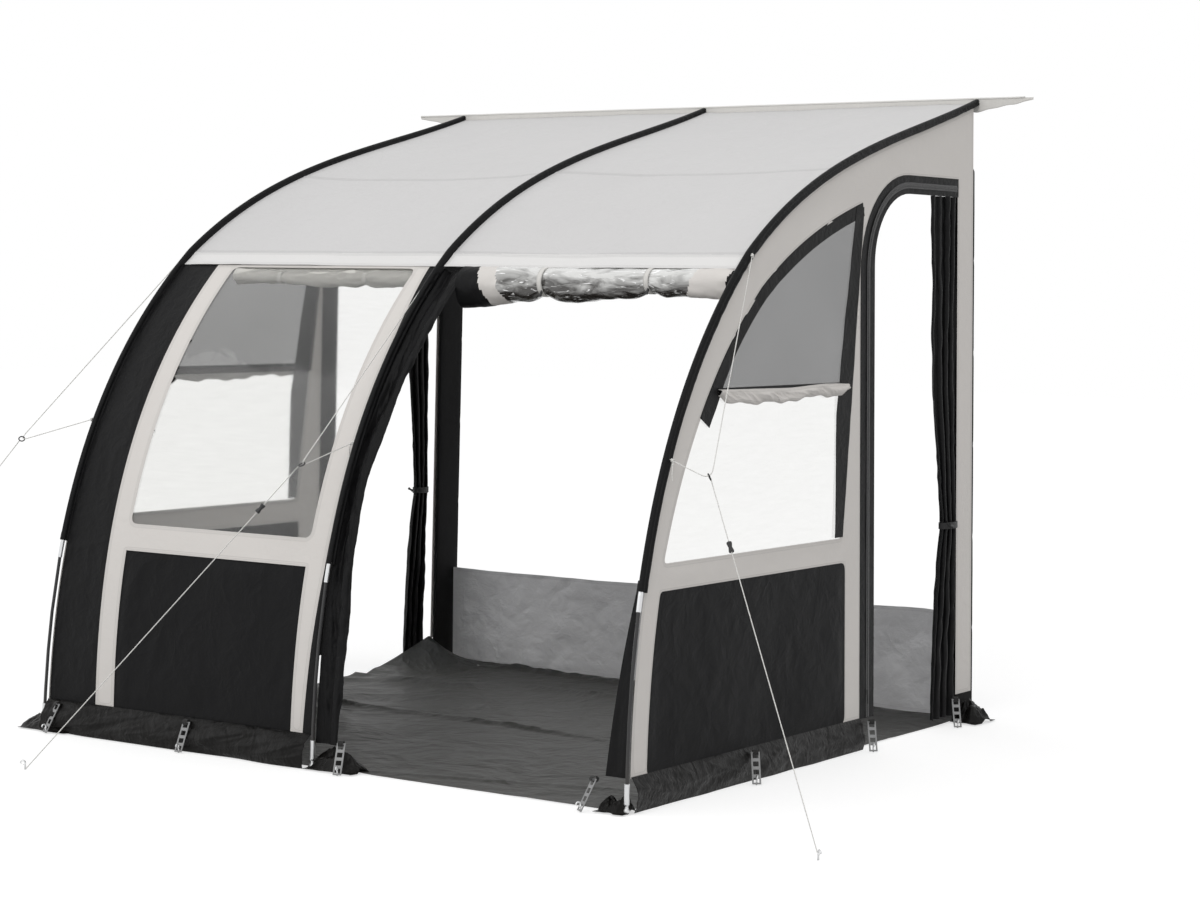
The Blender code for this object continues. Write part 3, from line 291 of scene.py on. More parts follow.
def cutCloth(name, outlines, spacing, place, facing, thickness=0.0011, lift=None):
    # flat cloth cut to an outline, later ones being holes; place turns cloth coordinates into world points and normals
    outlines = [np.asarray(o, float) for o in outlines]
    dense = []
    for outline in outlines:
        ring = []
        for start, end in zip(outline, np.roll(outline, -1, axis=0)):
            count = max(1, int(np.linalg.norm(end - start) / spacing))
            ring += [start + (end - start) * k / count for k in range(count)]
        dense.append(np.array(ring))
    low, high = outlines[0].min(0), outlines[0].max(0)
    xs = np.arange(low[0], high[0], spacing)
    ys = np.arange(low[1], high[1], spacing * 0.87)
    grid = np.array([(x + (spacing / 2 if k % 2 else 0), y) for k, y in enumerate(ys) for x in xs])
    keep = insideOutline(grid, outlines[0])
    for hole in outlines[1:]:
        keep &= ~insideOutline(grid, hole)
    grid = grid[keep]
    grid = grid[edgeDistance(grid, outlines) > spacing * 0.5]
    points = [tuple(p) for ring in dense for p in ring] + [tuple(p) for p in grid]
    edges, first = [], 0
    for ring in dense:
        edges += [(first + k, first + (k + 1) % len(ring)) for k in range(len(ring))]
        first += len(ring)
    found, _, triangles, *_ = geometry.delaunay_2d_cdt([Vector(p) for p in points], edges, [], 0, 1e-6)
    flat = np.array([tuple(p) for p in found])
    triangles = np.array(triangles)
    centres = flat[triangles].mean(axis=1)
    keep = insideOutline(centres, outlines[0])
    for hole in outlines[1:]:
        keep &= ~insideOutline(centres, hole)
    triangles = triangles[keep]
    edge = edgeDistance(flat, outlines)
    world, normal = place(flat)
    if lift is not None:
        world = world + normal * lift(flat, edge)[:, None]
    obj = meshPiece(name, world, [tuple(int(v) for v in t) for t in triangles], flat, edge, facing)
    return thickenCloth(obj, thickness)


def dress(obj, material, body="awning", nodes=()):
    # paints a finished piece, hangs it on the body it moves with, and hides the parts it replaces
    obj.data.materials.clear()
    obj.data.materials.append(material)
    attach(obj, body)
    if nodes:
        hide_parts(*nodes)
    return obj


def cordMesh(name, points, radius, sides=8):
    # a rope along points, with a UV map that runs round it and along it
    points = np.asarray(points, float)
    ahead = np.gradient(points, axis=0)
    ahead /= np.linalg.norm(ahead, axis=1)[:, None]
    beside = np.cross(ahead[0], (0, 0, 1))
    length = np.concatenate([[0], np.cumsum(np.linalg.norm(np.diff(points, axis=0), axis=1))])
    rings, uvs = [], []
    for k, point in enumerate(points):
        beside = beside - ahead[k] * (beside @ ahead[k])
        beside /= np.linalg.norm(beside)
        up = np.cross(ahead[k], beside)
        turn = np.linspace(0, 2 * math.pi, sides, endpoint=False)
        rings.append(point + radius * (np.cos(turn)[:, None] * beside + np.sin(turn)[:, None] * up))
        uvs.append(np.stack([turn * radius, np.full(sides, length[k])], -1))
    return tubeCloth(name, np.array(rings), np.array(uvs), capped=True)


def alongPath(points, spacing):
    # the same path with evenly spread points
    points = np.asarray(points, float)
    length = np.concatenate([[0], np.cumsum(np.linalg.norm(np.diff(points, axis=0), axis=1))])
    at = np.linspace(0, length[-1], max(2, int(length[-1] / spacing) + 1))
    return np.stack([np.interp(at, length, points[:, k]) for k in range(3)], -1)


# materials: shared effects first
def addNode(tree, kind, **settings):
    node = tree.nodes.new("ShaderNode" + kind)
    for key, value in settings.items():
        setattr(node, key, value)
    return node


def put(tree, socket, value):
    if isinstance(value, bpy.types.NodeSocket):
        tree.links.new(value, socket)
    else:
        socket.default_value = value


def calc(tree, operation, *values, clamp=False):
    node = addNode(tree, "Math", operation=operation, use_clamp=clamp)
    for socket, value in zip(node.inputs, values):
        put(tree, socket, value)
    return node.outputs[0]


def scaled(tree, vector, factors):
    node = addNode(tree, "VectorMath", operation="MULTIPLY")
    put(tree, node.inputs[0], vector)
    put(tree, node.inputs[1], factors)
    return node.outputs[0]


def noiseOf(tree, vector, scale, detail=3.0, rough=0.5, distortion=0.0):
    node = addNode(tree, "TexNoise")
    put(tree, node.inputs["Vector"], vector)
    put(tree, node.inputs["Scale"], scale)
    put(tree, node.inputs["Detail"], detail)
    put(tree, node.inputs["Roughness"], rough)
    put(tree, node.inputs["Distortion"], distortion)
    return node.outputs["Fac"]


def tinted(tree, factor, first, second, mode="MIX"):
    node = addNode(tree, "Mix", data_type="RGBA", blend_type=mode)
    put(tree, node.inputs["Factor"], factor)
    put(tree, node.inputs[6], first)
    put(tree, node.inputs[7], second)
    return node.outputs[2]


def newGroup(name, inputs, outputs):
    group = bpy.data.node_groups.new(name, "ShaderNodeTree")
    for label, kind in inputs:
        group.interface.new_socket(label, in_out="INPUT", socket_type="NodeSocket" + kind)
    for label, kind in outputs:
        group.interface.new_socket(label, in_out="OUTPUT", socket_type="NodeSocket" + kind)
    return group, group.nodes.new("NodeGroupInput").outputs, group.nodes.new("NodeGroupOutput").inputs


def useGroup(tree, group, **values):
    node = tree.nodes.new("ShaderNodeGroup")
    node.node_tree = group
    for key, value in values.items():
        put(tree, node.inputs[key], value)
    return node.outputs


def weaveGroup():
    # plain weave of threads, and the slow change of thickness along each thread
    group, given, result = newGroup("weave", [("Vector", "Vector"), ("Pitch", "Float")], [("Thread", "Float"), ("Slub", "Float")])
    node = addNode(group, "VectorMath", operation="SCALE")
    put(group, node.inputs[0], given["Vector"])
    put(group, node.inputs["Scale"], calc(group, "DIVIDE", 2 * math.pi, given["Pitch"]))
    apart = addNode(group, "SeparateXYZ")
    put(group, apart.inputs[0], node.outputs[0])
    weft = calc(group, "SINE", apart.outputs[0])
    warp = calc(group, "SINE", apart.outputs[1])
    put(group, result["Thread"], calc(group, "MULTIPLY_ADD", calc(group, "MULTIPLY", weft, warp), 0.5, 0.5))
    across = noiseOf(group, scaled(group, given["Vector"], (16, 420, 1)), 1.0, 2.0)
    along = noiseOf(group, scaled(group, given["Vector"], (420, 16, 1)), 1.0, 2.0)
    put(group, result["Slub"], calc(group, "MULTIPLY", calc(group, "ADD", across, along), 0.5))
    return group


def creaseGroup():
    # sharp ridges left by folding, over soft dents
    group, given, result = newGroup("creases", [("Vector", "Vector"), ("Size", "Float")], [("Height", "Float")])
    scale = calc(group, "DIVIDE", 1.0, given["Size"])
    soft = noiseOf(group, given["Vector"], scale, 4.0, 0.55, 0.35)
    ridge = calc(group, "ABSOLUTE", calc(group, "SUBTRACT", soft, 0.5))
    ridge = calc(group, "SUBTRACT", 1.0, calc(group, "MULTIPLY", ridge, 5.0), clamp=True)
    slow = noiseOf(group, given["Vector"], calc(group, "MULTIPLY", scale, 0.35), 2.0)
    put(group, result["Height"], calc(group, "MULTIPLY_ADD", ridge, 0.35, slow))
    return group


def hemGroup():
    # sewn hem: a doubled band beside the edge with two rows of stitches
    group, given, result = newGroup("hem", [("Vector", "Vector"), ("Edge", "Float"), ("Width", "Float")], [("Stitch", "Float"), ("Band", "Float")])
    apart = addNode(group, "SeparateXYZ")
    put(group, apart.inputs[0], given["Vector"])
    dash = calc(group, "SINE", calc(group, "MULTIPLY", calc(group, "ADD", apart.outputs[0], apart.outputs[1]), 1500.0))
    dash = calc(group, "MULTIPLY_ADD", dash, 0.5, 0.6, clamp=True)
    rows = []
    for share in (0.35, 0.85):
        off = calc(group, "ABSOLUTE", calc(group, "SUBTRACT", given["Edge"], calc(group, "MULTIPLY", given["Width"], share)))
        rows.append(calc(group, "SUBTRACT", 1.0, calc(group, "MULTIPLY", off, 900.0), clamp=True))
    put(group, result["Stitch"], calc(group, "MULTIPLY", calc(group, "MAXIMUM", *rows), dash))
    over = calc(group, "SUBTRACT", given["Edge"], given["Width"])
    put(group, result["Band"], calc(group, "SUBTRACT", 1.0, calc(group, "MULTIPLY", over, 900.0), clamp=True))
    return group


def soilGroup():
    # dust and splashes that fade out above the ground
    group, given, result = newGroup("soil", [("Vector", "Vector"), ("Reach", "Float")], [("Mask", "Float")])
    apart = addNode(group, "SeparateXYZ")
    put(group, apart.inputs[0], given["Vector"])
    low = calc(group, "SUBTRACT", 1.0, calc(group, "DIVIDE", apart.outputs[2], given["Reach"]), clamp=True)
    spots = noiseOf(group, given["Vector"], 14.0, 5.0, 0.65)
    put(group, result["Mask"], calc(group, "MULTIPLY", calc(group, "POWER", low, 1.6), spots, clamp=True))
    return group


weave, creases, hem, soil = weaveGroup(), creaseGroup(), hemGroup(), soilGroup()


def tone(red, green, blue):
    # a colour as read from the picture, made linear
    return tuple((v / 255 / 12.92 if v <= 10 else ((v / 255 + 0.055) / 1.055) ** 2.4) for v in (red, green, blue)) + (1.0,)


def startMaterial(name):
    material = bpy.data.materials.new(name)
    material.use_nodes = True
    tree = material.node_tree
    return material, tree, tree.nodes["Principled BSDF"]


def clothMaterial(name, look):
    # coated polyester: weave, slubs, fold creases, hems and dust
    material, tree, shader = startMaterial(name)
    uv = addNode(tree, "UVMap", uv_map="cloth").outputs[0]
    place = addNode(tree, "TexCoord").outputs["Object"]
    threads = useGroup(tree, weave, Vector=uv, Pitch=look["pitch"])
    folded = useGroup(tree, creases, Vector=place, Size=look["creaseSize"])["Height"]
    dust = useGroup(tree, soil, Vector=place, Reach=look.get("soilReach", 0.35))["Mask"]
    edge = addNode(tree, "Attribute", attribute_name="edge").outputs["Fac"]
    sewn = useGroup(tree, hem, Vector=uv, Edge=edge, Width=look.get("hem", 0.014))
    cloudy = noiseOf(tree, place, 2.3, 4.0, 0.55)
    light = calc(tree, "MULTIPLY_ADD", threads["Slub"], look["slub"], 1 - look["slub"] * 0.5)
    light = calc(tree, "MULTIPLY", light, calc(tree, "MULTIPLY_ADD", cloudy, look["cloud"], 1 - look["cloud"] * 0.5))
    light = calc(tree, "MULTIPLY", light, calc(tree, "MULTIPLY_ADD", sewn["Stitch"], -look.get("stitch", 0.3), 1.0))
    light = calc(tree, "MULTIPLY", light, calc(tree, "MULTIPLY_ADD", sewn["Band"], -look.get("band", 0.05), 1.0))
    paint = addNode(tree, "VectorMath", operation="SCALE")
    put(tree, paint.inputs[0], look["colour"][:3])
    put(tree, paint.inputs["Scale"], light)
    dusty = calc(tree, "MULTIPLY", dust, look.get("soil", 0.2))
    put(tree, shader.inputs["Base Color"], tinted(tree, dusty, paint.outputs[0], look.get("dust", tone(150, 143, 132))))
    rough = calc(tree, "MULTIPLY_ADD", cloudy, look.get("roughVary", 0.12), look["rough"])
    put(tree, shader.inputs["Roughness"], calc(tree, "MULTIPLY_ADD", dust, 0.25, rough, clamp=True))
    bump = addNode(tree, "Bump")
    put(tree, bump.inputs["Height"], folded)
    bump.inputs["Strength"].default_value = look["creaseStrength"]
    bump.inputs["Distance"].default_value = look["creaseSize"] * 0.12
    fine = addNode(tree, "Bump")
    relief = calc(tree, "MULTIPLY_ADD", sewn["Band"], 0.8, calc(tree, "MULTIPLY", threads["Thread"], 0.25))
    put(tree, fine.inputs["Height"], calc(tree, "MULTIPLY_ADD", sewn["Stitch"], -1.2, relief))
    fine.inputs["Strength"].default_value = look.get("weaveStrength", 0.5)
    fine.inputs["Distance"].default_value = 0.0006
    tree.links.new(bump.outputs[0], fine.inputs["Normal"])
    tree.links.new(fine.outputs[0], shader.inputs["Normal"])
    shader.inputs["Sheen Weight"].default_value = look.get("sheen", 0.15)
    shader.inputs["Sheen Roughness"].default_value = 0.45
    shader.inputs["Specular IOR Level"].default_value = look.get("specular", 0.4)
    shader.inputs["Coat Weight"].default_value = look.get("coat", 0.0)
    shader.inputs["Coat Roughness"].default_value = 0.28
    return material


def foilMaterial(name, look):
    # clear film: gently wavy, a little milky, with rub marks
    material, tree, shader = startMaterial(name)
    place = addNode(tree, "TexCoord").outputs["Object"]
    waves = noiseOf(tree, place, look["waves"], 3.0, 0.5, 0.4)
    rubbed = noiseOf(tree, scaled(tree, place, (1, 1, 7)), 9.0, 5.0, 0.7)
    put(tree, shader.inputs["Base Color"], tinted(tree, calc(tree, "MULTIPLY", rubbed, 0.5), look["colour"], look["milk"]))
    put(tree, shader.inputs["Roughness"], calc(tree, "MULTIPLY_ADD", rubbed, look["roughVary"], look["rough"]))
    bump = addNode(tree, "Bump")
    put(tree, bump.inputs["Height"], waves)
    bump.inputs["Strength"].default_value = look["bump"]
    bump.inputs["Distance"].default_value = 0.02
    tree.links.new(bump.outputs[0], shader.inputs["Normal"])
    shader.inputs["Transmission Weight"].default_value = look["clear"]
    shader.inputs["IOR"].default_value = 1.38
    return material


def meshMaterial(name, look):
    # see-through netting: thread grid in the alpha
    material, tree, shader = startMaterial(name)
    uv = addNode(tree, "UVMap", uv_map="cloth").outputs[0]
    threads = useGroup(tree, weave, Vector=uv, Pitch=look["pitch"])
    place = addNode(tree, "TexCoord").outputs["Object"]
    cloudy = noiseOf(tree, place, 3.0, 4.0)
    paint = tinted(tree, cloudy, look["colour"], look["second"])
    put(tree, shader.inputs["Base Color"], paint)
    cover = calc(tree, "MULTIPLY_ADD", threads["Thread"], look["vary"], look["cover"] - look["vary"] * 0.5)
    put(tree, shader.inputs["Alpha"], calc(tree, "MULTIPLY_ADD", cloudy, 0.06, cover, clamp=True))
    put(tree, shader.inputs["Roughness"], calc(tree, "MULTIPLY_ADD", cloudy, 0.2, 0.6))
    return material


def rolledFilmMaterial(name, look):
    # clear film rolled up: bright crumples painted in as reflections over a painted shade for the dark inside, painted
    # shade darker below, and painted white glints
    material, tree, shader = startMaterial(name)
    place = addNode(tree, "TexCoord").outputs["Object"]
    apart = addNode(tree, "SeparateXYZ")
    put(tree, apart.inputs[0], place)
    crumple = noiseOf(tree, scaled(tree, place, (7, 24, 24)), 1.0, 4.0, 0.55, 0.9)
    # painted light: lighter towards the top and painted shade towards the bottom, broken up by the crumples as painted
    # reflections
    height = calc(tree, "MULTIPLY", calc(tree, "SUBTRACT", apart.outputs[2], look["low"]), look["rise"])
    light = calc(tree, "MULTIPLY_ADD", calc(tree, "SUBTRACT", crumple, 0.5), 3.0, height, clamp=True)
    # painted highlights: white glints from thresholded noise
    paintedGlint = noiseOf(tree, scaled(tree, place, (16, 80, 80)), 1.0, 2.0, 0.5, 1.0)
    paintedGlint = calc(tree, "MULTIPLY", calc(tree, "SUBTRACT", paintedGlint, 0.63), 16.0, clamp=True)
    paint = tinted(tree, light, look["dark"], look["light"])
    put(tree, shader.inputs["Base Color"], tinted(tree, paintedGlint, paint, tone(250, 250, 250)))
    put(tree, shader.inputs["Roughness"], calc(tree, "MULTIPLY_ADD", crumple, 0.15, 0.06))
    bump = addNode(tree, "Bump")
    put(tree, bump.inputs["Height"], crumple)
    bump.inputs["Strength"].default_value = 0.9
    bump.inputs["Distance"].default_value = 0.010
    tree.links.new(bump.outputs[0], shader.inputs["Normal"])
    shader.inputs["Coat Weight"].default_value = 0.8
    shader.inputs["Coat Roughness"].default_value = 0.06
    return material


def ropeMaterial(name, look):
    # braided cord: strands that cross over each other
    material, tree, shader = startMaterial(name)
    uv = addNode(tree, "UVMap", uv_map="cloth").outputs[0]
    apart = addNode(tree, "SeparateXYZ")
    put(tree, apart.inputs[0], uv)
    around = calc(tree, "MULTIPLY", apart.outputs[0], look["strand"])
    along = calc(tree, "MULTIPLY", apart.outputs[1], look["strand"])
    left = calc(tree, "SINE", calc(tree, "ADD", along, around))
    right = calc(tree, "SINE", calc(tree, "SUBTRACT", along, around))
    braid = calc(tree, "MAXIMUM", left, right)
    fleck = calc(tree, "GREATER_THAN", calc(tree, "SINE", calc(tree, "MULTIPLY", apart.outputs[1], look["strand"] * 0.25)), look["fleck"])
    base = tinted(tree, calc(tree, "MULTIPLY_ADD", braid, 0.15, 0.15, clamp=True), look["colour"], look["shade"])
    put(tree, shader.inputs["Base Color"], tinted(tree, fleck, base, look["fleckColour"]))
    put(tree, shader.inputs["Roughness"], calc(tree, "MULTIPLY_ADD", braid, 0.1, 0.65))
    bump = addNode(tree, "Bump")
    put(tree, bump.inputs["Height"], braid)
    bump.inputs["Distance"].default_value = 0.0004
    tree.links.new(bump.outputs[0], shader.inputs["Normal"])
    shader.inputs["Sheen Weight"].default_value = 0.3
    return material


def hardMaterial(name, look):
    # metal or moulded plastic: drawn grain or fine texture, scratches and rub marks
    material, tree, shader = startMaterial(name)
    place = addNode(tree, "TexCoord").outputs["Object"]
    grain = noiseOf(tree, scaled(tree, place, look["grain"]), 1.0, 4.0, 0.6)
    blot = noiseOf(tree, place, 22.0, 5.0, 0.6)
    dust = useGroup(tree, soil, Vector=place, Reach=0.25)["Mask"]
    worn = tinted(tree, calc(tree, "MULTIPLY", blot, look["vary"]), look["colour"], look["second"])
    put(tree, shader.inputs["Base Color"], tinted(tree, calc(tree, "MULTIPLY", dust, 0.25), worn, tone(120, 112, 100)))
    rough = calc(tree, "MULTIPLY_ADD", grain, look["roughVary"], look["rough"])
    put(tree, shader.inputs["Roughness"], calc(tree, "MULTIPLY_ADD", dust, 0.3, rough, clamp=True))
    bump = addNode(tree, "Bump")
    put(tree, bump.inputs["Height"], grain)
    bump.inputs["Strength"].default_value = look["bump"]
    bump.inputs["Distance"].default_value = 0.0004
    tree.links.new(bump.outputs[0], shader.inputs["Normal"])
    shader.inputs["Metallic"].default_value = look["metal"]
    return material


roofCloth = clothMaterial("roofCloth", {
    "colour": tone(203, 202, 202), "rough": 0.55, "pitch": 0.0012, "slub": 0.03, "cloud": 0.07, "sheen": 0.1,
    "creaseSize": 0.20, "creaseStrength": 0.34, "soil": 0.0, "specular": 0.35})
hemCloth = clothMaterial("hemCloth", {
    "colour": tone(220, 219, 218), "rough": 0.62, "pitch": 0.0012, "slub": 0.03, "cloud": 0.04, "sheen": 0.1,
    "creaseSize": 0.10, "creaseStrength": 0.18, "soil": 0.0, "specular": 0.35})
paleCloth = clothMaterial("paleCloth", {
    "colour": tone(212, 208, 204), "rough": 0.64, "pitch": 0.0011, "slub": 0.04, "cloud": 0.05, "sheen": 0.1,
    "creaseSize": 0.09, "creaseStrength": 0.22, "soil": 0.10, "specular": 0.35})
darkCloth = clothMaterial("darkCloth", {
    "colour": tone(24, 24, 25), "rough": 0.48, "pitch": 0.0010, "slub": 0.14, "cloud": 0.16, "sheen": 0.01,
    "creaseSize": 0.12, "creaseStrength": 0.45, "soil": 0.01, "specular": 0.08})
blackCloth = clothMaterial("blackCloth", {
    "colour": tone(16, 16, 17), "rough": 0.46, "pitch": 0.0010, "slub": 0.15, "cloud": 0.2, "sheen": 0.01,
    "creaseSize": 0.06, "creaseStrength": 0.55, "soil": 0.01, "specular": 0.13})
flapCloth = clothMaterial("flapCloth", {
    "colour": tone(9, 8, 7), "rough": 0.24, "pitch": 0.0016, "slub": 0.1, "cloud": 0.25, "sheen": 0.0,
    "creaseSize": 0.07, "creaseStrength": 0.9, "soil": 0.02, "soilReach": 0.12, "specular": 0.15, "coat": 0.0,
    "dust": tone(96, 88, 78)})
curtainCloth = clothMaterial("curtainCloth", {
    "colour": tone(200, 198, 193), "rough": 0.7, "pitch": 0.0010, "slub": 0.05, "cloud": 0.08,
    "creaseSize": 0.05, "creaseStrength": 0.4, "soil": 0.0})
skirtCloth = clothMaterial("skirtCloth", {
    "colour": tone(220, 220, 222), "rough": 0.36, "pitch": 0.0012, "slub": 0.06, "cloud": 0.18, "sheen": 0.1,
    "creaseSize": 0.08, "creaseStrength": 0.5, "soil": 0.12, "specular": 0.6})
groundCloth = clothMaterial("groundCloth", {
    "colour": tone(38, 40, 39), "rough": 0.36, "pitch": 0.0030, "slub": 0.12, "cloud": 0.2, "sheen": 0.02,
    "creaseSize": 0.34, "creaseStrength": 0.8, "soil": 0.12, "soilReach": 0.1, "weaveStrength": 0.8})
tapeCloth = clothMaterial("tapeCloth", {
    "colour": tone(17, 17, 18), "rough": 0.6, "pitch": 0.0016, "slub": 0.2, "cloud": 0.1, "weaveStrength": 1.0,
    "creaseSize": 0.03, "creaseStrength": 0.2, "soil": 0.05, "hem": 0.003})
paleTape = clothMaterial("paleTape", {
    "colour": tone(214, 212, 208), "rough": 0.7, "pitch": 0.0016, "slub": 0.2, "cloud": 0.1, "weaveStrength": 1.0,
    "creaseSize": 0.03, "creaseStrength": 0.3, "soil": 0.05, "hem": 0.003})
clearFoil = foilMaterial("clearFoil", {
    "colour": tone(246, 246, 245), "milk": tone(228, 228, 226), "waves": 5.0, "rough": 0.02, "roughVary": 0.05, "bump": 0.12,
    "clear": 1.0})
# dark is the painted shade of the inside and the lower part, light the painted reflections; low and rise set where the
# painted shade gives way
rolledFoil = rolledFilmMaterial("rolledFoil", {"dark": tone(50, 47, 44), "light": tone(216, 216, 214), "low": 1.605, "rise": 12.0})
netting = meshMaterial("netting", {
    "colour": tone(42, 43, 44), "second": tone(60, 61, 62), "pitch": 0.0016, "cover": 0.48, "vary": 0.3})
guyRope = ropeMaterial("guyRope", {
    "colour": tone(252, 251, 247), "shade": tone(206, 204, 198), "strand": 2400.0, "fleck": 0.992, "fleckColour": tone(120, 120, 118)})
steelTube = hardMaterial("steelTube", {
    "colour": tone(226, 227, 228), "second": tone(186, 187, 189), "vary": 0.5, "grain": (900, 900, 12), "rough": 0.24,
    "roughVary": 0.16, "bump": 0.15, "metal": 1.0})
fibreRod = hardMaterial("fibreRod", {
    "colour": tone(30, 30, 31), "second": tone(46, 46, 47), "vary": 0.5, "grain": (700, 700, 14), "rough": 0.32,
    "roughVary": 0.15, "bump": 0.12, "metal": 0.0})
blackPlastic = hardMaterial("blackPlastic", {
    "colour": tone(28, 28, 29), "second": tone(44, 44, 45), "vary": 0.5, "grain": (600, 600, 600), "rough": 0.38,
    "roughVary": 0.2, "bump": 0.2, "metal": 0.0})
greyRubber = hardMaterial("greyRubber", {
    "colour": tone(158, 159, 160), "second": tone(120, 121, 122), "vary": 0.6, "grain": (500, 500, 500), "rough": 0.55,
    "roughVary": 0.2, "bump": 0.3, "metal": 0.0})
zipTeeth = ropeMaterial("zipTeeth", {
    "colour": tone(30, 30, 31), "shade": tone(14, 14, 15), "strand": 1500.0, "fleck": 2.0, "fleckColour": tone(30, 30, 31)})
padCloth = clothMaterial("padCloth", {
    "colour": tone(18, 18, 19), "rough": 0.8, "sheen": 0.02, "specular": 0.2, "pitch": 0.0013, "slub": 0.1, "cloud": 0.12, "creaseSize": 0.05,
    "creaseStrength": 0.3, "soil": 0.05, "hem": 0.006})
beadPlastic = hardMaterial("beadPlastic", {
    "colour": tone(224, 223, 220), "second": tone(196, 195, 190), "vary": 0.5, "grain": (300, 300, 300), "rough": 0.5,
    "roughVary": 0.2, "bump": 0.2, "metal": 0.0})
print("materials made")


# guy ropes
guys = {
    "rope": 0.0035, "ring": 0.011, "wire": 0.0024, "bend": 0.044, "anchor": (0.0139, 0.0135),
    "right": {"side": 1, "high": 1.76, "low": 1.10, "vertex": (2.155, 1.034, -0.162),
              "runner": (1.5537, -1.0364, 0.8407), "axis": (0.51024, -0.33794, -0.79086), "at": 0.246, "length": 1.290},
    "middle": {"side": 0, "high": 1.76, "low": 1.10, "vertex": (2.424, 1.020, 0.034),
               "runner": (-0.1389, -1.2994, 0.8791), "axis": (-0.51239, -0.41975, -0.74917), "at": 0.190, "length": 1.361},
    "left": {"side": -1, "high": 1.76, "low": 1.13, "vertex": (2.155, 1.020, 0.403),
             "runner": (-1.7623, -1.0369, 0.8586), "axis": (-0.44522, -0.41138, -0.79533), "at": 0.210, "length": 1.268},
}


def bridlePoints(guy):
    away = 1 if guy["vertex"][2] > 0 else -1
    ends = []
    for height in (guy["high"], guy["low"]):
        spot, _ = onLine(lengthAtHeight(height), guys["anchor"][1])
        ends.append(inWorld(guy["side"], spot[0], spot[1], away * guys["anchor"][0]))
    vertex = inWorld(guy["side"], *guy["vertex"])
    first, last = [vertex + (end - vertex) / np.linalg.norm(end - vertex) * guys["bend"] for end in ends]
    share = np.linspace(0, 1, 9)[:, None]
    bend = (first * (1 - share) + vertex * share) * (1 - share) + (vertex * (1 - share) + last * share) * share
    upper = ends[0] + (first - ends[0]) * np.linspace(0, 1, 12)[:-1, None]
    lower = last + (ends[1] - last) * np.linspace(0, 1, 8)[1:, None]
    return np.concatenate([upper, bend, lower])


def linePointsOf(guy):
    axis = np.array(guy["axis"])
    start = np.array(guy["runner"]) - axis * guy["at"]
    return start + axis * np.linspace(0, guy["length"], 26)[:, None]


def makePegHook(name, spot, toward):
    # steel peg: only its bent head stands above the ground
    deselect()
    bpy.ops.mesh.primitive_cylinder_add(vertices=12, radius=0.0030, depth=0.026, location=(0, 0, 0.013))
    shaft = bpy.context.object
    bpy.ops.mesh.primitive_torus_add(
        major_segments=20, minor_segments=10, major_radius=0.0080, minor_radius=0.0028, location=(0.0075, 0, 0.024),
        rotation=(math.pi / 2, 0, 0))
    hook = bpy.context.object
    activate(hook)
    bpy.ops.object.transform_apply(location=True, rotation=True, scale=True)
    bpy.ops.object.mode_set(mode="EDIT")
    bpy.ops.mesh.select_all(action="SELECT")
    bpy.ops.mesh.bisect(plane_co=(0.012, 0, 0.021), plane_no=(0.5, 0, -1), clear_outer=True, use_fill=True)
    bpy.ops.object.mode_set(mode="OBJECT")
    activate(shaft)
    bpy.ops.object.transform_apply(location=True, rotation=True, scale=True)
    hook.select_set(True)
    bpy.ops.object.join()
    bpy.ops.object.shade_smooth()
    shaft.name = name
    angle = math.atan2(toward[1], toward[0])
    shaft.matrix_world = Matrix.Translation(spot) @ Matrix.Rotation(angle, 4, "Z")
    settle(shaft)
    return dress(shaft, steelTube)


def makeTails(name, upper):
    # the knots on the sleeve: a few turns and a short tail each
    for k, (end, ahead) in enumerate(((upper[0], upper[2] - upper[0]), (upper[-1], upper[-3] - upper[-1]))):
        ahead = ahead / np.linalg.norm(ahead)
        turn = np.linspace(0, 6 * math.pi, 60)
        beside = np.cross(ahead, (0, 0, 1))
        beside /= np.linalg.norm(beside)
        up = np.cross(beside, ahead)
        coil = end + ahead * (0.010 + (turn / turn[-1] - 0.5) * 0.011)[:, None]
        coil = coil + 0.0044 * (np.cos(turn)[:, None] * beside + np.sin(turn)[:, None] * up)
        knot = cordMesh(f"knot_{name}_{k + 1}", coil, guys["rope"] / 2, sides=6)
        dress(knot, guyRope)
        share = np.linspace(0, 1, 18)[:, None]
        tail = coil[-1] + np.array((0, 0, -0.052 - 0.008 * k)) * share + beside * 0.016 * share * (1.3 - share)
        loose = cordMesh(f"knot_tail_{name}_{k + 1}", tail, guys["rope"] / 2, sides=8)
        dress(loose, guyRope)


def makeGuys():
    for name in ("left", "middle", "right"):
        guy = guys[name]
        upper = bridlePoints(guy)
        bridle = cordMesh("bridle_" + name, upper, guys["rope"] / 2)
        dress(bridle, guyRope, nodes=["guy_bridle_" + name])
        lower = linePointsOf(guy)
        axis = np.array(guy["axis"])
        line = cordMesh("line_" + name, lower, guys["rope"] / 2)
        hook = makePegHook("peg_hook_" + name, Vector(lower[-1]) - Vector((0, 0, lower[-1][2])) + Vector(axis) * 0.004, axis)
        dress(line, guyRope, nodes=["guy_line_" + name])
        makeTails(name, upper)


# shared shapes of the soft pieces
gap = 0.0006


def clothDrop(length):
    return sleeveSize(length)[1] * arch["set"]


def frontLength(height):
    return lengthAtHeight(height, arch["sleeveDepth"] * arch["set"])


def bayPlace(bay, extra=0.0):
    # cloth coordinates: distance from the bay's left arch, and length along the arch from the rail
    def place(flat):
        across, length = flat[:, 0], flat[:, 1]
        spot, normal = onLine(length, clothDrop(length) + extra)
        left = inWorld(bay[0], spot[:, 0], spot[:, 1])
        right = inWorld(bay[1], spot[:, 0], spot[:, 1])
        span = np.linalg.norm(right - left, axis=1)
        world = left + (right - left) * (across / span)[:, None]
        return world, np.stack([np.zeros(len(span)), -normal[:, 0], normal[:, 1]], -1)
    return place


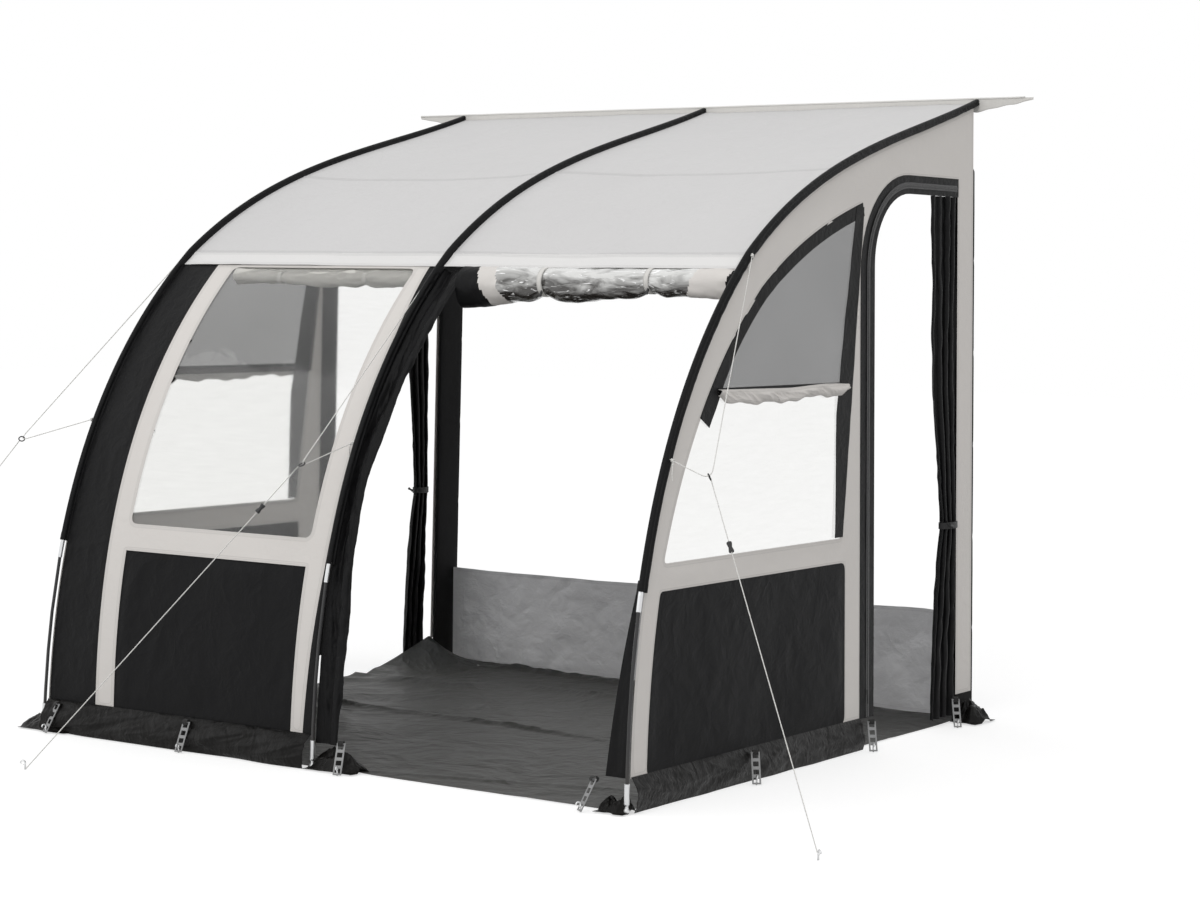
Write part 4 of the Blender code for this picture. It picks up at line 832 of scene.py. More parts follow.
def spanAt(bay, length):
    spot, _ = onLine(length, clothDrop(length))
    return float(np.linalg.norm(inWorld(bay[1], spot[0], spot[1]) - inWorld(bay[0], spot[0], spot[1])))


def seamAt(length):
    return float(sleeveSize(length)[0]) + gap


def farSeam(bay):
    return lambda length: spanAt(bay, length) - seamAt(length)


def bayGrid(name, bay, lengths, left, right, columns, lift, extra=0.0, seams=(), facing=(0, -1, 1), thickness=0.0011):
    lengths = np.asarray(lengths, float)
    first = np.array([left(v) for v in lengths])[:, None]
    last = np.array([right(v) for v in lengths])[:, None]
    across = first + (last - first) * np.linspace(0, 1, columns)
    along = np.repeat(lengths[:, None], columns, 1)
    edge = np.minimum(np.minimum(across - first, last - across), np.minimum(along - lengths[0], lengths[-1] - along))
    for seam in seams:
        edge = np.minimum(edge, np.abs(along - seam))
    flat = np.stack([across, along], -1)
    world, normal = bayPlace(bay, extra)(flat.reshape(-1, 2))
    rise = lift(across.ravel(), along.ravel(), edge.ravel())
    world = (world + normal * rise[:, None]).reshape(len(lengths), columns, 3)
    return gridCloth(name, world, flat, facing, edge=edge, thickness=thickness)


def wallPlace(side):
    # cloth coordinates: out from the caravan and height, in the arch's plane
    def place(flat):
        world = inWorld(side, flat[:, 0], flat[:, 1])
        across = archAxes(side)[3]
        return world, np.repeat((-side * across)[None], len(flat), 0)
    return place


def rounded(outline, radius, count=5, sharp=0.35):
    # the outline with its sharp corners rounded
    outline = np.asarray(outline, float)
    done = []
    for before, corner, after in zip(np.roll(outline, 1, 0), outline, np.roll(outline, -1, 0)):
        back, ahead = before - corner, after - corner
        turn = (back @ ahead) / (np.linalg.norm(back) * np.linalg.norm(ahead))
        if turn < -math.cos(sharp):
            done.append(corner)
            continue
        reach = min(radius, np.linalg.norm(back) * 0.45, np.linalg.norm(ahead) * 0.45)
        start, end = corner + back / np.linalg.norm(back) * reach, corner + ahead / np.linalg.norm(ahead) * reach
        for k in range(count + 1):
            share = k / count
            done.append((start * (1 - share) + corner * share) * (1 - share) + (corner * (1 - share) + end * share) * share)
    return np.array(done)


def recolour(obj, material, chosen):
    # a second cloth on the faces whose middle the test picks
    obj.data.materials.append(material)
    count = len(obj.data.polygons)
    middles = np.empty(count * 3)
    obj.data.polygons.foreach_get("center", middles)
    index = np.empty(count, int)
    obj.data.polygons.foreach_get("material_index", index)
    index[chosen(middles.reshape(-1, 3))] = len(obj.data.materials) - 1
    obj.data.polygons.foreach_set("material_index", index)


def rolledCloth(name, centres, reach, core, turns, stretch, seed, rough=0.06, steps=30, tail=None):
    # a sheet wound up along a line of centres; reach is the outer radius at each, tail the points it hangs from
    count = int(turns * steps)
    angle = np.linspace(0, 2 * math.pi * turns, count + 1)
    rows, uvs = [], []
    ahead = centres[-1] - centres[0]
    ahead = ahead / np.linalg.norm(ahead)
    up = np.array((0, 0, 1.0)) - ahead * ahead[2]
    up /= np.linalg.norm(up)
    beside = np.cross(ahead, up)
    run = np.concatenate([[0], np.cumsum(np.linalg.norm(np.diff(centres, axis=0), axis=1))])
    for k, centre in enumerate(centres):
        radius = core + (reach[k] - core) * angle / angle[-1]
        turned = angle - angle[-1] + math.pi / 2
        swell = 1 + rough * softNoise(np.cos(turned) * 1.3 + run[k] * 5, np.sin(turned) * 1.3 + run[k] * 3, seed)
        swell += rough * 0.5 * softNoise(np.cos(turned) * 2.6 + run[k] * 24, np.sin(turned) * 2.6, seed + 3)
        radius = radius * swell
        rows.append(centre + radius[:, None] * (np.cos(turned)[:, None] * beside * stretch + np.sin(turned)[:, None] * up))
    rows = np.array(rows)
    if tail is not None:
        rows = np.concatenate([rows, np.asarray(tail)[:, None, :]], axis=1)
    length = np.concatenate([[0], np.cumsum(np.linalg.norm(np.diff(rows.mean(axis=0), axis=0), axis=1))])
    uvs = np.stack(np.broadcast_arrays(run[:, None], length[None, :]), -1)
    edge = np.minimum(np.minimum(run, run[-1] - run)[:, None], 1.0) + 0 * length[None, :]
    return gridCloth(name, rows, uvs, None, edge=edge, thickness=0.0008), float(run[-1]), float(length[-1])


def strapLoop(name, centre, first, second, width, axis, material, steps=56, wobble=0.02, seed=3):
    # tape pulled round something: first and second are its two half axes
    angle = np.linspace(0, 2 * math.pi, steps, endpoint=False)
    swell = 1 + wobble * softNoise(np.cos(angle) * 1.5, np.sin(angle) * 1.5, seed)
    ring = centre + (np.cos(angle) * swell)[:, None] * first + (np.sin(angle) * swell)[:, None] * second
    axis = np.asarray(axis, float)
    axis /= np.linalg.norm(axis)
    across = np.linspace(-0.5, 0.5, 5)
    rings = np.array([ring + axis * width * a for a in across])
    around = np.concatenate([[0], np.cumsum(np.linalg.norm(np.diff(ring, axis=0), axis=1))])
    uvs = np.stack(np.broadcast_arrays((across * width)[:, None], around[None, :]), -1)
    edge = np.minimum(across - across[0], across[-1] - across)[:, None] * width + 0 * around[None, :]
    strap = tubeCloth(name, rings, uvs, thickness=0.0016, edge=edge)
    dress(strap, material)
    return strap


def makeToggle(name, spot, axis, length=0.028, radius=0.0058):
    # turned barrel with a waist for the cord
    deselect()
    bpy.ops.mesh.primitive_cylinder_add(vertices=24, radius=radius, depth=length)
    toggle = bpy.context.object
    toggle.name = name
    bpy.ops.object.mode_set(mode="EDIT")
    bpy.ops.mesh.select_all(action="SELECT")
    for share in (-0.16, 0.16):
        bpy.ops.mesh.select_all(action="SELECT")
        bpy.ops.mesh.bisect(plane_co=(0, 0, share * length), plane_no=(0, 0, 1))
    bpy.ops.object.mode_set(mode="OBJECT")
    for vertex in toggle.data.vertices:
        if abs(vertex.co.z) < length * 0.2:
            vertex.co.x *= 0.7
            vertex.co.y *= 0.7
    bevel = toggle.modifiers.new("soft", "BEVEL")
    bevel.width = radius * 0.25
    bevel.segments = 3
    applyModifiers(toggle)
    bpy.ops.object.shade_smooth()
    toggle.matrix_world = Matrix.Translation(spot) @ Vector(axis).to_track_quat("Z", "Y").to_matrix().to_4x4()
    settle(toggle)
    return dress(toggle, blackPlastic)


def stretchedCloth(obj, material, width, height, nodes=(), area=None):
    dress(obj, material, nodes=nodes)
    if area and area < 0.3 * width * height:
        # a frame sewn from strips a tenth of a metre wide
        width, height, area = 0.1, area / 0.1, None
    if area:
        height = max(height, area / width)
    return obj


def outlineArea(*outlines):
    total = 0.0
    for k, outline in enumerate(outlines):
        x, y = np.asarray(outline, float).T
        size = abs(float((x * np.roll(y, -1) - y * np.roll(x, -1)).sum())) / 2
        total += size if k == 0 else -size
    return total


# sleeves
sleeve = {"crest": 0.0108, "fold": 0.0013, "fine": 0.0008, "bunch": 0.0034, "bunchReach": 0.30, "cuff": 0.03}


def sleeveSection(half, depth):
    # (sideways, drop) round the pole's crest, down to the seams and back underneath
    turn = np.radians(np.linspace(168, 12, 11))
    crestX = sleeve["crest"] * np.cos(turn)
    crestY = sleeve["crest"] * (1 - np.sin(turn))
    share = np.linspace(0, 1, 7)[1:]
    seamY = depth * (arch["set"] - 0.03)
    flankX = crestX[-1] + (half - crestX[-1]) * share
    flankY = crestY[-1] + (seamY - crestY[-1]) * share
    pull = 0.0022 * np.sin(math.pi * share) * min(1, half / 0.02)
    flankX, flankY = flankX - pull, flankY + pull * 0.5
    underX = half * np.array([1, 0.96, 0.6, 0.2, -0.2, -0.6, -0.96, -1])
    underY = depth * np.array([0.86, 0.97, 1, 1, 1, 1, 0.97, 0.86])
    x = np.concatenate([-flankX[::-1], crestX, flankX, underX])
    y = np.concatenate([flankY[::-1], crestY, flankY, underY])
    free = np.concatenate([np.sin(math.pi * share)[::-1], np.zeros(11), np.sin(math.pi * share), [0.2, 0.6, 1, 1, 1, 1, 0.6, 0.2]])
    return x, y, free


def makeSleeve(name):
    side = sides[name]
    first = lengthAtOut(0.004)
    last = lengthAtHeight(0.69)
    lengths = np.concatenate([
        np.linspace(first, first + 0.35, 90), np.linspace(first + 0.35, last - 0.05, 420)[1:], np.linspace(last - 0.05, last, 16)[1:]])
    rings, uvs, edges = [], [], []
    seed = 11 + side
    for length in lengths:
        half, depth = (float(v) for v in sleeveSize(length))
        x, y, free = sleeveSection(half, depth)
        around = np.concatenate([[0], np.cumsum(np.hypot(np.diff(x), np.diff(y)))])
        fade = ramp(length, first, first + 0.1)
        rise = sleeve["fold"] * softNoise(around * 28 + length * 4, np.full(len(x), length * 7), seed)
        rise += sleeve["fine"] * creased(around * 45 + length * 9, np.full(len(x), length * 24), seed + 2)
        near = 1 - ramp(length, first, first + sleeve["bunchReach"])
        rise += sleeve["bunch"] * near * straightNoise(around * 12, np.full(len(x), length * 85), seed + 4)
        bend = math.exp(-((length - 1.87) / 0.22) ** 2) * 0.003
        rise += bend * straightNoise(around * 16 + length * 12, np.full(len(x), length * 40), seed + 6)
        rise *= free * (0.3 + 0.7 * fade)
        cuff = ramp(length, last - sleeve["cuff"], last - sleeve["cuff"] + 0.004)
        rise += 0.0009 * cuff
        runX, runY = np.gradient(x), np.gradient(y)
        size = np.hypot(runX, runY)
        x, y = x + runY / size * rise, y - runX / size * rise
        spot, normal = onLine(length)
        point = spot[None, :] - normal[None, :] * y[:, None]
        rings.append(inWorld(side, point[:, 0], point[:, 1], -x))
        uvs.append(np.stack([around, np.full(len(x), length)], -1))
        edges.append(np.minimum(np.abs(around - 0.004), last - length + 0 * around))
    obj = tubeCloth("sleeve_cloth_" + name, np.array(rings), np.array(uvs), thickness=0.0009, edge=np.array(edges))
    stretchedCloth(obj, blackCloth, 0.085, float(last - first), ["sleeve_" + name],
                   area=float(np.mean([u[-1, 0] for u in uvs])) * (last - first) * 1.0)


# roof
roof = {"sag": 0.022, "seams": (1.04, 1.655), "hem": 1.697}


def makeRoof(name):
    bay = bays[name]
    first = lengthAtOut(0.005, 0.02)
    last = frontLength(roof["hem"])
    seams = [lengthAtOut(out, 0.021) for out in roof["seams"]]
    fine = [seam + step for seam in seams for step in np.linspace(-0.012, 0.012, 9)]
    lengths = np.unique(np.concatenate([np.linspace(first, last, 190), fine, last - np.linspace(0, 0.02, 7)]))
    seed = 21 + bay[0]

    def lift(across, along, edge):
        share = across / spanAt(bay, 1.0)
        down = (along - first) / (last - first)
        rise = -16 * roof["sag"] * down * (1 - down) * share * (1 - share)
        rim = ramp(np.minimum(across, 1.2 - across), 0.02, 0.12)
        rise += 0.0050 * softNoise(across * 2.3, along * 1.5, seed) * rim
        rise += 0.0022 * softNoise(across * 7.5 + along * 2, along * 3.2, seed + 1) * (0.3 + 0.7 * rim)
        rise += 0.0009 * creased(across * 9, along * 6, seed + 2) * rim
        pull = np.exp(-np.minimum(across, 1.2 - across) / 0.07)
        rise += 0.0016 * straightNoise(across * 3, along * 22, seed + 3) * pull * ramp(np.minimum(across, 1.2 - across), 0.03, 0.06)
        for seam in seams:
            rise += 0.0011 * (ramp(along, seam - 0.009, seam - 0.006) - ramp(along, seam + 0.003, seam + 0.006))
        rise += 0.0009 * ramp(along, last - 0.014, last - 0.012) + 0.0020 * ramp(along, last - 0.06, last)
        return rise

    obj = bayGrid("roof_cloth_" + name, bay, lengths, seamAt, farSeam(bay), 128, lift, seams=seams)
    stretchedCloth(obj, roofCloth, 1.2, float(last - first), ["roof_" + name], area=1.19 * float(last - first))
    edgeHeight = float(onLine(seams[1], 0.021)[0][1])
    recolour(obj, hemCloth, lambda middle: (middle[:, 2] < edgeHeight) & (middle[:, 1] < -0.3))


# strip along the caravan's rail
rail = {"height": 0.055, "tail": 0.235, "tip": 0.012, "bead": 0.0035}


def makeRailStrip():
    end = arch["topHalf"] + rail["tail"]
    xs = np.linspace(-end, end, 420)
    top = arch["rail"] - 0.001
    reach = np.interp(np.abs(xs), [0, arch["topHalf"], end], [rail["height"], rail["height"], rail["tip"]])
    reach = reach * (1 + 0.10 * straightNoise(xs * 26, xs * 0, 5)) - 0.002
    share = np.linspace(0, 1, 9)
    height = top - reach[:, None] * share
    y = arch["depth"] / 2 - 0.0016 - 0.0006 * (1 + softNoise(xs[:, None] * 18 + 0 * share, height * 30, 8)) * share
    points = np.stack(np.broadcast_arrays(xs[:, None], y, height), -1)
    uvs = np.stack(np.broadcast_arrays(xs[:, None], height), -1)
    edge = np.minimum(reach[:, None] * (1 - share), 0.02)
    strip = gridCloth("rail_cloth", points, uvs, (0, -1, 0), edge=edge, thickness=0.0010)
    area = float(reach.mean()) * 2 * end
    stretchedCloth(strip, paleTape, 2 * end, rail["height"], ["rail_strip"], area=area)
    line = np.stack([xs[::6], np.full(len(xs[::6]), arch["depth"] / 2 - 0.0012), np.full(len(xs[::6]), arch["rail"])], -1)
    line[:, 2] += 0.0004 * softNoise(xs[::6] * 9, xs[::6] * 0, 4)
    bead = cordMesh("rail_bead", line, rail["bead"], 14)
    dress(bead, beadPlastic, nodes=["rail_strip"])


# closed front bay
front = {
    "top": 1.6996, "sill": 0.765, "panelTop": 0.670, "bottom": 0.11, "strip": (0.185, 0.245), "frame": 0.09,
    "inner": 0.11, "flapOut": 0.030, "tieSpots": (0.26, 0.74), "curtain": 0.028, "flange": 0.046,
    "wedge": ((0.11, 0.40, 0.66, 1.0, 1.40, 1.55, 1.70), (0.056, 0.042, 0.026, 0.019, 0.019, 0.034, 0.052)),
}


def paleEdge(length):
    # where the pale frame ends beside the middle arch; the rest up to the sleeve is black
    height = float(onLine(length)[0][1])
    return spanAt(bays["left"], length) - float(np.interp(height, *front["wedge"]))


def stripEdge(length):
    height = float(onLine(length)[0][1])
    share = (arch["hem"] - height) / (arch["hem"] - arch["bottom"])
    return front["strip"][0] + (front["strip"][1] - front["strip"][0]) * share


def clothLift(size, fine, seed, scale=3.0, rim=0.03):
    def lift(flat, edge):
        soft = softNoise(flat[:, 0] * scale, flat[:, 1] * scale * 0.7, seed)
        sharp = creased(flat[:, 0] * scale * 2.6, flat[:, 1] * scale * 2.1, seed + 1)
        return (size * soft + fine * sharp) * ramp(edge, 0, rim)
    return lift


def makeClosedFront():
    bay = bays["left"]
    top, sill, panelTop, bottom = (frontLength(front[key]) for key in ("top", "sill", "panelTop", "bottom"))
    downward = np.linspace(top, bottom, 30)
    windowLeft = lambda length: stripEdge(length) + gap + front["frame"]
    windowRight = lambda length: spanAt(bay, length) - front["inner"]
    heading = top + 0.014
    window = [(windowLeft(v), v) for v in np.linspace(heading, sill, 14)] + [(windowRight(v), v) for v in np.linspace(sill, heading, 14)]
    window = rounded(window, 0.03)
    frameLine = [(stripEdge(v) + gap, v) for v in downward]
    frameLine += [(windowLeft(bottom), bottom)] + [(windowLeft(v), v) for v in np.linspace(bottom, panelTop, 10)[1:]]
    frameLine += [(windowRight(v), v) for v in np.linspace(panelTop, bottom, 10)] + [(paleEdge(v), v) for v in downward[::-1]]
    place = bayPlace(bay)
    frameCloth = cutCloth("front_frame_cloth", [frameLine, window], 0.016, place, (0, -1, 0), lift=clothLift(0.0020, 0.0008, 31))
    stretchedCloth(frameCloth, paleCloth, 1.0, float(bottom - top), ["front_frame"], area=outlineArea(frameLine, window))
    foilLine = [(u + 0.008 * (1 if u > 0.6 else -1), v + (0.008 if v > 2.2 else -0.004)) for u, v in window]
    foil = cutCloth("front_window_foil", [foilLine], 0.022, bayPlace(bay, 0.0045), (0, -1, 0), 0.0005,
                    lambda flat, edge: 0.0030 * softNoise(flat[:, 0] * 3, flat[:, 1] * 2, 33) * ramp(edge, 0, 0.1))
    stretchedCloth(foil, clearFoil, 0.85, float(sill - heading), ["front_window"], area=outlineArea(foilLine))
    panelLine = [(windowLeft(v) - 0.006, v) for v in np.linspace(panelTop - 0.006, bottom, 12)]
    panelLine += [(windowRight(v) + 0.006, v) for v in np.linspace(bottom, panelTop - 0.006, 12)]

    def panelLift(flat, edge):
        rise = 0.0045 * softNoise(flat[:, 0] * 5.5, flat[:, 1] * 1.7, 35) + 0.0020 * creased(flat[:, 0] * 11, flat[:, 1] * 5, 36)
        rise += 0.0045 * creased(flat[:, 0] * 4.2 + flat[:, 1] * 1.4, flat[:, 1] * 1.6 - flat[:, 0], 37)
        return rise * ramp(edge, 0.004, 0.05) - 0.0022

    panel = cutCloth("front_panel_cloth", [panelLine], 0.012, place, (0, -1, 0), lift=panelLift)
    stretchedCloth(panel, darkCloth, 0.86, 0.57, ["front_lower_panel"], area=outlineArea(panelLine))
    lengths = np.linspace(top, bottom, 170)

    def stripLift(across, along, edge):
        # the sleeve's flange stands proud, puckered where it is sewn on
        flange = 1 - ramp(across, front["flange"] - 0.004, front["flange"])
        pucker = straightNoise(across * 9 + along * 5, along * 34, 43) * flange * ramp(across, 0.016, 0.026)
        soft = (0.0026 * softNoise(across * 9, along * 5, 41) + 0.0018 * creased(across * 15, along * 11, 42)) * ramp(edge, 0, 0.03)
        return soft + 0.0012 * flange + 0.0024 * pucker

    strip = bayGrid("front_strip_cloth", bay, np.linspace(top, bottom, 420), seamAt, stripEdge, 52, stripLift)
    stretchedCloth(strip, blackCloth, 0.2, float(bottom - top), ["front_edge_strip"], area=0.187 * float(bottom - top))

    def wedgeLift(across, along, edge):
        return (0.0016 * softNoise(across * 12, along * 6, 44) + 0.0010 * creased(across * 22, along * 12, 45)) * ramp(edge, 0, 0.012)

    wedge = bayGrid("front_wedge_cloth", bay, lengths, lambda v: paleEdge(v) + gap, farSeam(bay), 10, wedgeLift)
    stretchedCloth(wedge, blackCloth, 0.05, float(bottom - top), ["front_frame"], area=0.018 * float(bottom - top))
    print("closed front made")


def flapShape(along, share, seed):
    # how far a mud flap swells from its wall: a soft lip, creased where it was packed
    swell = (0.80 + 0.45 * softNoise(along * 3.1, along * 0 + 2, seed)) * np.sin(share * 2.35) ** 0.8
    swell = swell + 0.30 * share * straightNoise(along * 7 + share * 2, share * 2.2 + 0 * along, seed + 1)
    swell = swell + 0.22 * creased(along * 7 + share * 3, share * 1.4 + 0 * along, seed + 2) * np.sin(share * math.pi) ** 0.7
    swell = swell + 0.36 * creased(along * 3.6 - share * 1.1, share * 1.1 + 0 * along, seed + 5) * np.sin(share * math.pi)
    return swell + 0.03 * creased(along * 12, share * 2.5 + 0 * along, seed + 3) * share


def makeFlap():
    # hangs from the wall's hem, swells outwards and turns under where it meets the ground
    rows, columns = 34, 420
    share = np.linspace(0, 1, rows)[:, None]
    x0, x1 = -arch["frontHalf"] + 0.016, -0.016
    xs = np.linspace(x0, x1, columns)[None, :]
    top = front["bottom"] + 0.004
    spot, _ = onLine(frontLength(top), 0.021 - 0.0016)
    start = arch["depth"] / 2 - float(spot[0])
    y = start - front["flapOut"] * flapShape(xs, share, 51) - 0.020 * share
    z = top - (top - 0.0022) * share ** 1.05 + 0.0022 * softNoise(xs * 15, share * 4 + 0 * xs, 54) * share * (1 - share) * 4
    points = np.stack(np.broadcast_arrays(xs, y, z), -1)
    uvs = np.stack(np.broadcast_arrays(xs, 0.125 * share), -1)
    edge = np.minimum(share, 1 - share) * 0.125 + 0 * xs
    flap = gridCloth("front_flap_cloth", points, uvs, (0, -1, 0), edge=edge)
    stretchedCloth(flap, flapCloth, x1 - x0, 0.145, ["front_flap"])


def makeCurtain():
    bay = bays["left"]
    length = frontLength(front["top"]) + 0.036
    outer = 0.0300
    count = 90
    first = stripEdge(length) + gap + front["frame"] + 0.012
    last = spanAt(bay, length) - front["inner"] - 0.012
    across = np.linspace(first, last, count)
    place = bayPlace(bay, 0.0026 + outer)
    centres, normal = place(np.stack([across, np.full(count, length)], -1))
    share = (across - first) / (last - first)
    waist = sum(np.exp(-((share - spot) / 0.035) ** 2) for spot in front["tieSpots"])
    reach = outer * (0.92 - 0.34 * waist + 0.10 * softNoise(share * 14, share * 0, 61))
    hangTop, _ = bayPlace(bay, 0.0026)(np.stack([across, np.full(count, length - 0.034)], -1))
    curtain, width, height = rolledCloth("curtain_roll", centres, reach, 0.007, 5, 0.84, 62, rough=0.30, steps=30, tail=hangTop)
    stretchedCloth(curtain, curtainCloth, width, height, ["front_curtain"])
    for k, spot in enumerate(front["tieSpots"]):
        at = int(round(spot * (count - 1)))
        radius = reach[at] * 1.06
        strapLoop(f"curtain_tie_{k + 1}", centres[at], np.array((0, 1, 0)) * radius, np.array((0, 0, 1)) * (radius + 0.002),
                  0.022, centres[-1] - centres[0], paleTape, seed=63 + k)


# open front bay
openBay = {
    "gatherDepth": 0.024, "folds": 1.3, "ties": (0.459, 0.90), "black": (0.245, 1.237), "foil": (0.31, 1.085),
    "large": 0.072, "small": 0.048, "strip": (0.010, 0.075), "stripTop": 0.72,
    "gather": ((0.09, 0.30, 0.55, 0.75, 0.90, 1.0, 1.2, 1.5, 1.68), (0.094, 0.100, 0.100, 0.084, 0.076, 0.070, 0.092, 0.110, 0.120)),
}


def makeGather():
    # drawn together beside the middle arch; its edge tucks behind the sleeve
    bay = bays["right"]
    rows, columns = 300, 110
    top = frontLength(1.6985)
    bottom = frontLength(0.085)
    lengths = np.linspace(top, bottom, rows)[:, None]
    share = np.linspace(0, 1, columns)[None, :]
    heights = onLine(lengths[:, 0])[0][:, 1][:, None]
    reach = np.interp(heights, *openBay["gather"])
    reach = reach * (1 + 0.05 * straightNoise(0 * share, lengths * 5, 73) * ramp(share, 0.4, 1))
    drift = 1.5 * straightNoise(share * 1.7 + 0 * lengths, lengths * 1.7 + 0 * share, 71) + 0.5 * softNoise(share * 4, lengths * 5, 72)
    phase = share * openBay["folds"] * 2 * math.pi + drift
    deep = openBay["gatherDepth"] * (0.62 + 0.5 * straightNoise(share * 3 + 0 * lengths, lengths * 2.4 + 0 * share, 74))
    start = -0.004
    across = start + (reach - start) * share + 0.0022 * np.sin(phase * 2)
    sink = 0.012 + deep * 0.5 * (1 - np.cos(phase)) * ramp(share, 0.08, 0.3)
    sink = sink + 0.0075 * creased(share * 1.1 + lengths * 2.2, lengths * 5.5 - share * 2.2, 75) * ramp(share, 0.08, 0.3)
    sink = sink + 0.0030 * creased(share * 2.4 + lengths * 6, lengths * 13 - share * 3, 77) * ramp(share, 0.08, 0.3)
    sink = sink + 0.0014 * creased(share * 7 + 0 * lengths, lengths * 27 + 0 * share, 76) - 0.010 * ramp(share, 0.2, 0.5)
    flat = np.stack(np.broadcast_arrays(across, lengths), -1)
    world, normal = bayPlace(bay)(flat.reshape(-1, 2))
    world = (world - normal * sink.reshape(-1)[:, None]).reshape(rows, columns, 3)
    along = np.linalg.norm(np.diff(world, axis=1), axis=2).mean(axis=0)
    around = np.concatenate([[0], np.cumsum(along)])
    uvs = np.stack(np.broadcast_arrays(around[None, :], lengths), -1)
    edge = np.minimum(around, around[-1] - around)[None, :] + 0 * lengths
    gather = gridCloth("front_gather_cloth", world, uvs, None, edge=edge, thickness=0.0010)
    stretchedCloth(gather, blackCloth, float(around[-1]), float(bottom - top), ["front_gather"])


def makeRoll():
    bay = bays["right"]
    length = frontLength(1.6990)
    count = 200
    first = arch["sleeveHalf"] + 0.097
    last = spanAt(bay, length) - seamAt(length)
    across = np.linspace(first, last, count)
    hang, _ = bayPlace(bay)(np.stack([across, np.full(count, length)], -1))
    x = hang[:, 0]
    share = (x - x[0]) / (x[-1] - x[0])
    reach = openBay["large"] + (openBay["small"] - openBay["large"]) * np.minimum(share / 0.9, 1) ** 0.7
    for tie in openBay["ties"]:
        reach -= 0.011 * np.exp(-((x - tie) / 0.045) ** 2)
    reach = reach * (1 + 0.05 * softNoise(x * 9, x * 0, 81) + 0.02 * softNoise(x * 31, x * 0, 86))
    centres = hang - np.array((0, 0, 1)) * (reach[:, None] + 0.0016) + np.array((0, 0.004, 0))
    tail = hang - np.array((0, -0.0006, 0.0))
    roll, width, height = rolledCloth("front_roll_cloth", centres, reach * 0.985, 0.012, 6, 0.95, 82, rough=0.10, steps=36, tail=tail)
    stretchedCloth(roll, blackCloth, width, height, ["front_roll"])
    dark, clear = openBay["black"], openBay["foil"]
    edgeNoise = lambda middle: 0.05 * np.clip(arch["hem"] - middle[:, 2], 0, 0.12) / 0.12 + 0.004 * softNoise(middle[:, 2] * 40, middle[:, 1] * 30, 83)
    recolour(roll, paleCloth, lambda middle: (middle[:, 0] > dark[0] - 0.06 + edgeNoise(middle)) & (middle[:, 0] < dark[1] - edgeNoise(middle)))
    recolour(roll, rolledFoil, lambda middle: (middle[:, 0] > clear[0] - 0.05 + edgeNoise(middle)) & (middle[:, 0] < clear[1] + 0.01 - edgeNoise(middle)))
    for k, tie in enumerate(openBay["ties"]):
        at = int(np.argmin(np.abs(x - tie)))
        radius = reach[at] * 1.035
        strapLoop(f"roll_tie_{k + 1}", centres[at], np.array((0, 1, 0)) * radius, np.array((0, 0, 1)) * radius, 0.020,
                  (1, 0, 0), paleTape, seed=84 + k)
        makeToggle(f"roll_toggle_{k + 1}", Vector(centres[at]) + Vector((0.004, -radius * 0.80, -radius * 0.70)), (0.25, 0.3, 1))


def makeRightStrip():
    # black cloth beside the right leg, wider towards the ground
    bay = bays["right"]
    top = frontLength(openBay["stripTop"])
    bottom = frontLength(0.11)

    def freeEdge(length):
        height = float(onLine(length)[0][1])
        share = max(0.0, (0.69 - height) / (0.69 - arch["bottom"]))
        return farSeam(bay)(length) - (openBay["strip"][0] + (openBay["strip"][1] - openBay["strip"][0]) * share)

    def lift(across, along, edge):
        fold = 0.0050 * straightNoise((farSeam(bay)(bottom) - across) * 40, along * 3, 91)
        return (fold + 0.0016 * creased(across * 26, along * 12, 92)) * ramp(edge, 0, 0.02)

    strip = bayGrid("right_strip_cloth", bay, np.linspace(top, bottom, 160), freeEdge, farSeam(bay), 26, lift)
    stretchedCloth(strip, blackCloth, 0.075, float(bottom - top), ["front_right_strip"],
                   area=0.043 * float(bottom - top))


# side walls
wall = {
    "rear": 0.03, "lowInset": 0.115, "topInset": 0.185, "rearTop": 0.89, "rearLow": 1.04, "sill": 0.765, "split": 1.28,
    "panelTop": 0.672, "panelRear": 1.02, "panelInset": 0.125, "hinge": 0.157, "jamb": 0.90, "doorTop": 2.045,
    "corner": 0.36, "border": 0.098, "borderTop": 0.062, "blackEdge": 0.042, "rearBlack": (0.045, 0.095),
}


def doorLine(jamb, top, radius, bottom, hinge):
    turn = np.linspace(math.pi / 2, 0, 14)
    arc = [(jamb - radius + radius * math.cos(a), top - radius + radius * math.sin(a)) for a in turn]
    return [(hinge, bottom), (hinge, top)] + arc + [(jamb, bottom)]


def insetLine(inset, top, bottom, count):
    lengths = np.linspace(lengthAtHeight(top, inset), lengthAtHeight(bottom, inset), count)
    return [tuple(p) for p in onLine(lengths, inset)[0]]


def windowFront(length, inset=0.0):
    low, high = lengthAtHeight(wall["sill"], wall["lowInset"]), lengthAtOut(wall["rearTop"], wall["topInset"])
    share = (low - length) / (low - high)
    return onLine(length, wall["lowInset"] + (wall["topInset"] - wall["lowInset"]) * share + inset)[0]


def windowEnds(inset=0.0):
    # lengths where the window's front edge meets the sill, the split and the peak
    lengths = np.linspace(0.5, 3.6, 3000)
    line = windowFront(lengths, inset)
    sill = float(np.interp(-wall["sill"] - inset, -line[:, 1], lengths))
    split = float(np.interp(-wall["split"], -line[:, 1], lengths))
    peak = float(np.interp(wall["rearTop"] + inset, line[:, 0], lengths))
    return sill, split, peak


def windowRear(height, inset=0.0):
    top = windowFront(windowEnds()[2])[1]
    share = (height - wall["sill"]) / (top - wall["sill"])
    return wall["rearLow"] + (wall["rearTop"] - wall["rearLow"]) * share + inset


